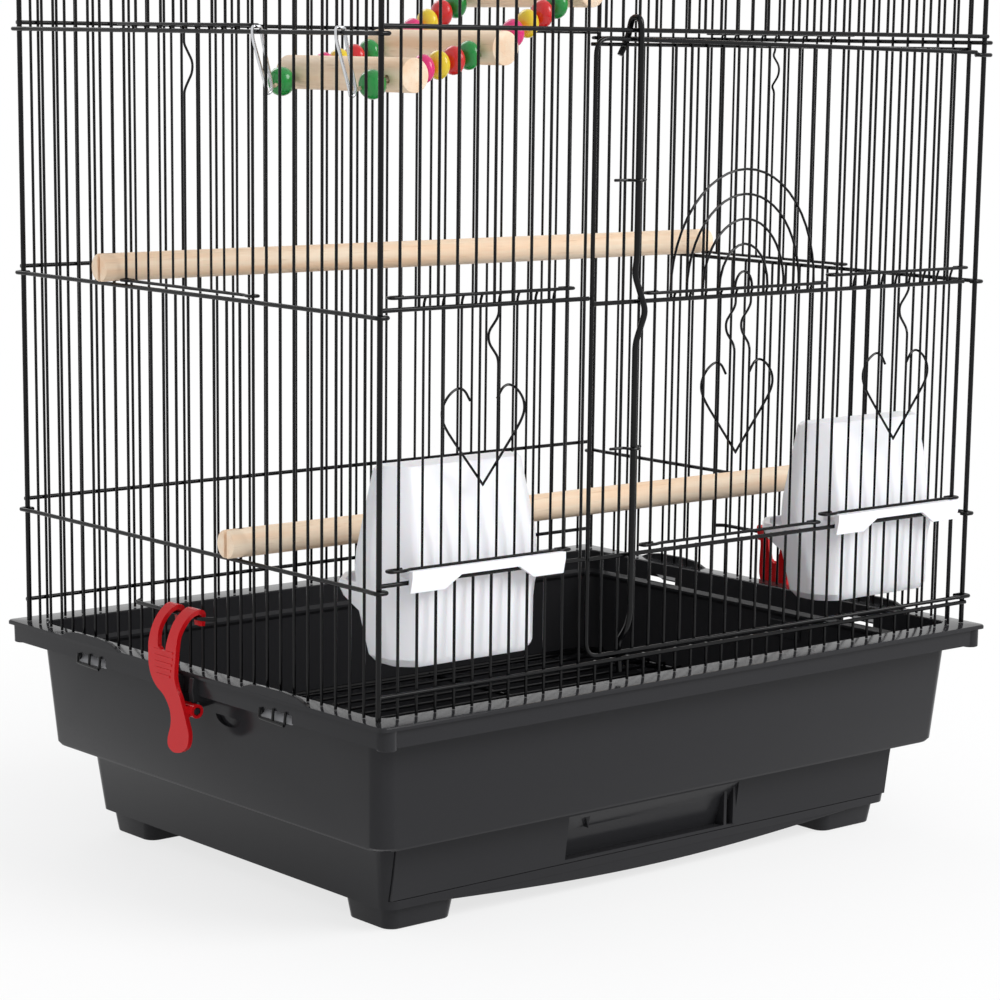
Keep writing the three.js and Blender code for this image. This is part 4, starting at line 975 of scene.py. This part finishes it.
def build_toy():
    """Rungs along the hanging curve toy_z, bored where the cords pass, and each cord as a
    tube along that curve with its beads on it."""
    for k in range(RUNGS):
        x = rung_x(k)
        name, stick = f"rung_{k + 1}", dowel((x, 15, toy_z(x)), (x, 121, toy_z(x)), RUNG_R, 0.5, 48)
        obj = make(name, [stick], "wood_along", "cage", (name,))
        slope = (toy_z(x + 1) - toy_z(x - 1)) / 2
        for y in TOY_Y:
            cut(obj, tube([(x - 12, y, toy_z(x) - 12 * slope), (x + 12, y, toy_z(x) + 12 * slope)], 2.2, 16))
    row = ("pink", "yellow", "red", "green")
    plans = (("bead_cord_near", TOY_Y[0], (HOOK_NEAR, HOOK_NEAR)), ("bead_cord_far", TOY_Y[1], HOOK_FAR))
    first, last = rung_x(0) - RUNG_R, rung_x(RUNGS - 1) + RUNG_R
    for name, y, ends in plans:
        def place(x):
            # on the hanging curve, turned aside beyond the last rungs
            aside = 0.0
            if x < first:
                aside = (first - x) / (first - CORD_END) * (ends[0] - y)
            elif x > last:
                aside = (x - last) / (W - CORD_END - last) * (ends[1] - y)
            return np.array([x, y + aside, toy_z(x)])

        xs = np.linspace(CORD_END + 0.2, W - CORD_END - 0.2, 120)
        make(name, [tube([place(x) for x in xs], 1.0, 8)], "cord", "cage", (name,))
        balls = {c: [] for c in BEAD_COLOURS}
        balls["green"] += [bead(place(first - 7.6), 13.5, 7.6), bead(place(last + 7.6), 13.5, 7.6)]
        for k in range(RUNGS - 1):
            start = rung_x(k) + RUNG_CLEAR
            room = rung_x(k + 1) - RUNG_CLEAR - start
            for i, colour in enumerate(row):
                x = start + room * (i + 0.5) / len(row)
                balls[colour].append(bead(place(x), min(13, room / len(row) - 0.2), 7.5))
        for colour, parts in balls.items():
            if parts:
                make(f"{name}_{colour}_beads", parts, "bead_" + colour, "cage", (), angle=60)


def build_hook(name, side, s, bar_z):
    """Steel snap hook: a long loop of spring wire with its closing arm."""
    r, n = 0.9, 2.35
    end_z = toy_z(CORD_END if side is left else W - CORD_END)
    clear = 1.3 + 0.3 + r + 0.05
    inner = -(CORD_END - 0.3 - r - 0.1)
    loop = [(s, n - clear, bar_z + clear), (s, n + clear, bar_z + clear), (s, n + clear, bar_z - 3),
            (s, inner + 4.6, end_z + 2), (s, inner + 3, end_z - 4), (s, inner + 0.6, end_z - 3),
            (s, inner, end_z), (s, n - clear - 1.2, bar_z - 4)]
    return make(name, [run(side, loop, r, 2.6, 12, closed=True)], "steel", "cage", (name,))


# ---- Stage ----
def direct_rays(tree):
    """One for rays from the camera and for mirrored and transmitted ones, else zero."""
    path = node(tree, "LightPath")
    total = path.outputs["Is Camera Ray"]
    for kind in ("Is Glossy Ray", "Is Transmission Ray"):
        either = node(tree, "Math", operation="MAXIMUM")
        tree.links.new(total, either.inputs[0])
        link(tree, path, kind, either, 1)
        total = either.outputs["Value"]
    return total


def backdrop_paint():
    """Pale floor: white cloth-like diffuse that fades for camera rays into plain white away
    from the object, so that only the shadow near it shows."""
    mat = bpy.data.materials.new("Backdrop")
    mat.use_nodes = True
    tree = mat.node_tree
    tree.nodes.clear()
    out = node(tree, "OutputMaterial")
    cloth = node(tree, "BsdfDiffuse", Color=(0.9, 0.9, 0.9, 1))
    glow = node(tree, "Emission", Color=(1, 1, 1, 1), Strength=1.0)
    place = node(tree, "TexCoord")
    reach = node(tree, "VectorMath", operation="LENGTH")
    fade = node(tree, "MapRange", interpolation_type="SMOOTHSTEP",
                **{"From Min": 0.2, "From Max": 0.8, "To Min": 0.75, "To Max": 1.0})
    seen = direct_rays(tree)
    both = node(tree, "Math", operation="MULTIPLY")
    mix = node(tree, "MixShader")
    link(tree, place, "Object", reach, 0)
    link(tree, reach, "Value", fade, "Value")
    link(tree, fade, "Result", both, 0)
    tree.links.new(seen, both.inputs[1])
    link(tree, both, "Value", mix, "Fac")
    link(tree, cloth, "BSDF", mix, 1)
    link(tree, glow, "Emission", mix, 2)
    link(tree, mix, "Shader", out, "Surface")
    return mat


def build_world():
    """White to the camera, and a soft even light to everything else."""
    world = bpy.data.worlds.new("Studio")
    world.use_nodes = True
    tree = world.node_tree
    tree.nodes.clear()
    out = node(tree, "OutputWorld")
    seen = node(tree, "Background", Color=(1, 1, 1, 1), Strength=1.0)
    light = node(tree, "Background", Color=(0.97, 0.98, 1.0, 1), Strength=0.72)
    mix = node(tree, "MixShader")
    tree.links.new(direct_rays(tree), mix.inputs["Fac"])
    link(tree, light, "Background", mix, 1)
    link(tree, seen, "Background", mix, 2)
    link(tree, mix, "Shader", out, "Surface")
    bpy.context.scene.world = world


def lamp(name, at, aim, size, power):
    """Round area lamp at a place, turned towards the aim."""
    data = bpy.data.lights.new(name, "AREA")
    data.shape = "DISK"
    data.size = size
    data.energy = power
    obj = place_object(name, data)
    obj.location = at
    obj.rotation_euler = (Vector(aim) - Vector(at)).to_track_quat("-Z", "Y").to_euler()


def build_camera():
    """Long lens to the front left of the cage, a little above its middle."""
    cage = sizes()
    data = bpy.data.cameras.new("Camera")
    data.sensor_width = 36
    data.lens = CAMERA_LENS
    data.shift_x, data.shift_y = CAMERA_SHIFT
    data.clip_end = 30
    obj = place_object("Camera", data)
    a, e = cage.view_azimuth, cage.view_elevation
    behind = Vector((sin(a) * cos(e), -cos(a) * cos(e), sin(e)))
    aside = (-behind).cross(Vector((0, 0, 1))).normalized()
    up = aside.cross(-behind)
    x = aside * cos(CAMERA_TILT) + up * sin(CAMERA_TILT)
    y = up * cos(CAMERA_TILT) - aside * sin(CAMERA_TILT)
    turn = Matrix((x, y, behind)).transposed().to_4x4()
    obj.matrix_world = Matrix.Translation(CAMERA_AT) @ turn
    bpy.context.scene.camera = obj


def build_stage():
    """Round floor just under the feet, with the world, two lamps and the camera."""
    mesh = bpy.data.meshes.new("floor")
    t = np.linspace(0, 2 * np.pi, 96, endpoint=False)
    mesh.from_pydata([(FLOOR_R * cos(a), FLOOR_R * sin(a), FLOOR_Z) for a in t], [], [list(range(96))])
    mesh.materials.append(backdrop_paint())
    floor = place_object("floor", mesh)
    build_world()
    lamp("key", (1.2, -2.7, 2.3), (0, 0, 0.3), 2.2, 84)
    lamp("back", (0.4, 2.2, 2.0), (0, 0, 0.4), 1.4, 12)
    build_camera()
    bpy.context.scene.view_settings.view_transform = "Standard"


# ---- Add-on ----
def wire_setting(name, text, default, low, high):
    """Diameter in metres, between two limits."""
    return bpy.props.FloatProperty(name=name, description=text, default=default, min=low, max=high,
                                   unit="LENGTH", subtype="DISTANCE", precision=5)


def angle_setting(name, text, degrees):
    """Angle kept in radians, its default given in degrees."""
    return bpy.props.FloatProperty(name=name, description=text, default=radians(degrees), unit="ROTATION",
                                   subtype="ANGLE")


def colour_setting(name, text, default):
    """Linear red, green and blue."""
    return bpy.props.FloatVectorProperty(name=name, description=text, default=default, min=0, max=1,
                                         subtype="COLOR")


class BirdCageSettings(PropertyGroup):
    """Sizes of the wires, colours of the materials and the viewing angle."""

    upright_wire: wire_setting("Upright wire", "Diameter of the upright wires", 0.00165, 0.0012, 0.0021)
    bar_wire: wire_setting("Bar wire", "Diameter of the level bars", 0.0024, 0.0016, 0.0027)
    door_wire: wire_setting("Door wire", "Diameter of the wires in the sliding doors", 0.0014, 0.0010, 0.0017)
    latch_wire: wire_setting("Latch rod", "Diameter of the latch rod", 0.0034, 0.0024, 0.0035)
    wire_colour: colour_setting("Wire colour", "Coating of the wires", (0.003, 0.003, 0.0035))
    base_colour: colour_setting("Base colour", "Plastic of the base", (0.024, 0.024, 0.026))
    drawer_colour: colour_setting("Drawer colour", "Plastic of the drawer", (0.025, 0.025, 0.027))
    feeder_colour: colour_setting("Feeder colour", "Plastic of the feeders", (0.86, 0.86, 0.89))
    clip_colour: colour_setting("Clip colour", "Plastic of the clips", (0.60, 0.008, 0.012))
    wood_dark: colour_setting("Dark wood", "Darker streaks of the wood", (0.92, 0.64, 0.42))
    wood_light: colour_setting("Light wood", "Lighter streaks of the wood", (0.97, 0.80, 0.61))
    view_azimuth: angle_setting("View azimuth", "Direction that the camera stands in, from the front", -40.98)
    view_elevation: angle_setting("View elevation", "Height of the camera above the level", 10.54)


class BIRDCAGE_OT_base(Operator):
    """Builds the moulded base and its drawer"""

    bl_idname = "birdcage.base"
    bl_label = "Base and drawer"

    def execute(self, context):
        build_base()
        build_drawer()
        return {"FINISHED"}


class BIRDCAGE_OT_panels(Operator):
    """Builds the wire walls, the roof, the grate and the carrying ring"""

    bl_idname = "birdcage.panels"
    bl_label = "Wire panels"

    def execute(self, context):
        build_front()
        build_back()
        build_side("left_panel", left)
        build_side("right_panel", right)
        build_roof()
        build_ring()
        build_grate()
        return {"FINISHED"}


class BIRDCAGE_OT_front_door(Operator):
    """Builds the swinging front door and its latch rod"""

    bl_idname = "birdcage.front_door"
    bl_label = "Front door and latch"

    def execute(self, context):
        build_front_door()
        build_latch()
        return {"FINISHED"}


class BIRDCAGE_OT_sliding_doors(Operator):
    """Builds the doors that slide upwards"""

    bl_idname = "birdcage.sliding_doors"
    bl_label = "Sliding doors"

    def execute(self, context):
        near = (LEFT_PITCH, 10 * LEFT_PITCH)
        build_feeder_door("feeder_door_left", near, LEFT_PITCH, 3.4, MID + 5.9,
                          LOW + 6.5, 1.0, MID + 2.4)
        far = (DOOR_L + 16 * INNER, DOOR_R)
        build_feeder_door("feeder_door_right", far, INNER, 2.6, MID + 5, LOW + 7, 1.2,
                          MID - 0.4)
        build_arch_door()
        build_side_door("side_door_left", left)
        build_side_door("side_door_right", right)
        return {"FINISHED"}


class BIRDCAGE_OT_clips(Operator):
    """Builds the two red clips that hold the cage on its base"""

    bl_idname = "birdcage.clips"
    bl_label = "Clips"

    def execute(self, context):
        build_clip("clip_left", left)
        build_clip("clip_right", right)
        return {"FINISHED"}


class BIRDCAGE_OT_feeders(Operator):
    """Builds the two hooded feeders"""

    bl_idname = "birdcage.feeders"
    bl_label = "Feeders"

    def execute(self, context):
        build_feeder("feeder_left", "cage", (LEFT_PITCH, 10 * LEFT_PITCH))
        build_feeder("feeder_right", "front_door", (DOOR_L + 16 * INNER, DOOR_R))
        return {"FINISHED"}


class BIRDCAGE_OT_perches(Operator):
    """Builds the two wooden perches"""

    bl_idname = "birdcage.perches"
    bl_label = "Perches"

    def execute(self, context):
        lift = 1.3 - DROP + 0.3 + PERCH_R
        build_perch("perch_upper", 240, MID + lift)
        build_perch("perch_lower", 120, LOW + lift)
        return {"FINISHED"}


class BIRDCAGE_OT_toy(Operator):
    """Builds the hanging ladder of rungs, cords and beads, with its snap hooks"""

    bl_idname = "birdcage.toy"
    bl_label = "Ladder toy"

    def execute(self, context):
        build_toy()
        build_hook("snap_hook_1", left, HOOK_NEAR, HIGH - DROP)
        build_hook("snap_hook_2", left, HOOK_FAR[0], HIGH - DROP)
        build_hook("snap_hook_3", right, HOOK_NEAR, EAVE - DROP)
        build_hook("snap_hook_4", right, HOOK_FAR[1], EAVE - DROP)
        return {"FINISHED"}


class BIRDCAGE_OT_stage(Operator):
    """Sets the floor, the lights and the camera"""

    bl_idname = "birdcage.stage"
    bl_label = "Stage"

    def execute(self, context):
        build_stage()
        return {"FINISHED"}


OPERATORS = (BIRDCAGE_OT_stage, BIRDCAGE_OT_base, BIRDCAGE_OT_panels, BIRDCAGE_OT_front_door,
             BIRDCAGE_OT_sliding_doors, BIRDCAGE_OT_clips, BIRDCAGE_OT_feeders, BIRDCAGE_OT_perches,
             BIRDCAGE_OT_toy)


class BIRDCAGE_PT_panel(Panel):
    """Sidebar panel with the sizes and one button for each group of pieces"""

    bl_idname = "BIRDCAGE_PT_panel"
    bl_label = "Bird Cage"
    bl_space_type = "VIEW_3D"
    bl_region_type = "UI"
    bl_category = "Bird Cage"

    def draw(self, context):
        for name in BirdCageSettings.__annotations__:
            self.layout.prop(context.scene.bird_cage, name)
        for operator in OPERATORS:
            self.layout.operator(operator.bl_idname)


CLASSES = (BirdCageSettings, *OPERATORS, BIRDCAGE_PT_panel)


def register():
    """Adds the classes and the settings to Blender."""
    for cls in CLASSES:
        bpy.utils.register_class(cls)
    bpy.types.Scene.bird_cage = bpy.props.PointerProperty(type=BirdCageSettings)


def unregister():
    """Takes them away again."""
    del bpy.types.Scene.bird_cage
    for cls in reversed(CLASSES):
        bpy.utils.unregister_class(cls)


def main():
    """Runs every operator."""
    register()
    for operator in OPERATORS:
        module, name = operator.bl_idname.split(".")
        result = getattr(getattr(bpy.ops, module), name)()
        if result != {"FINISHED"}:
            raise RuntimeError(f"{operator.bl_idname} gave {result}")


if __name__ == "__main__":
    main()
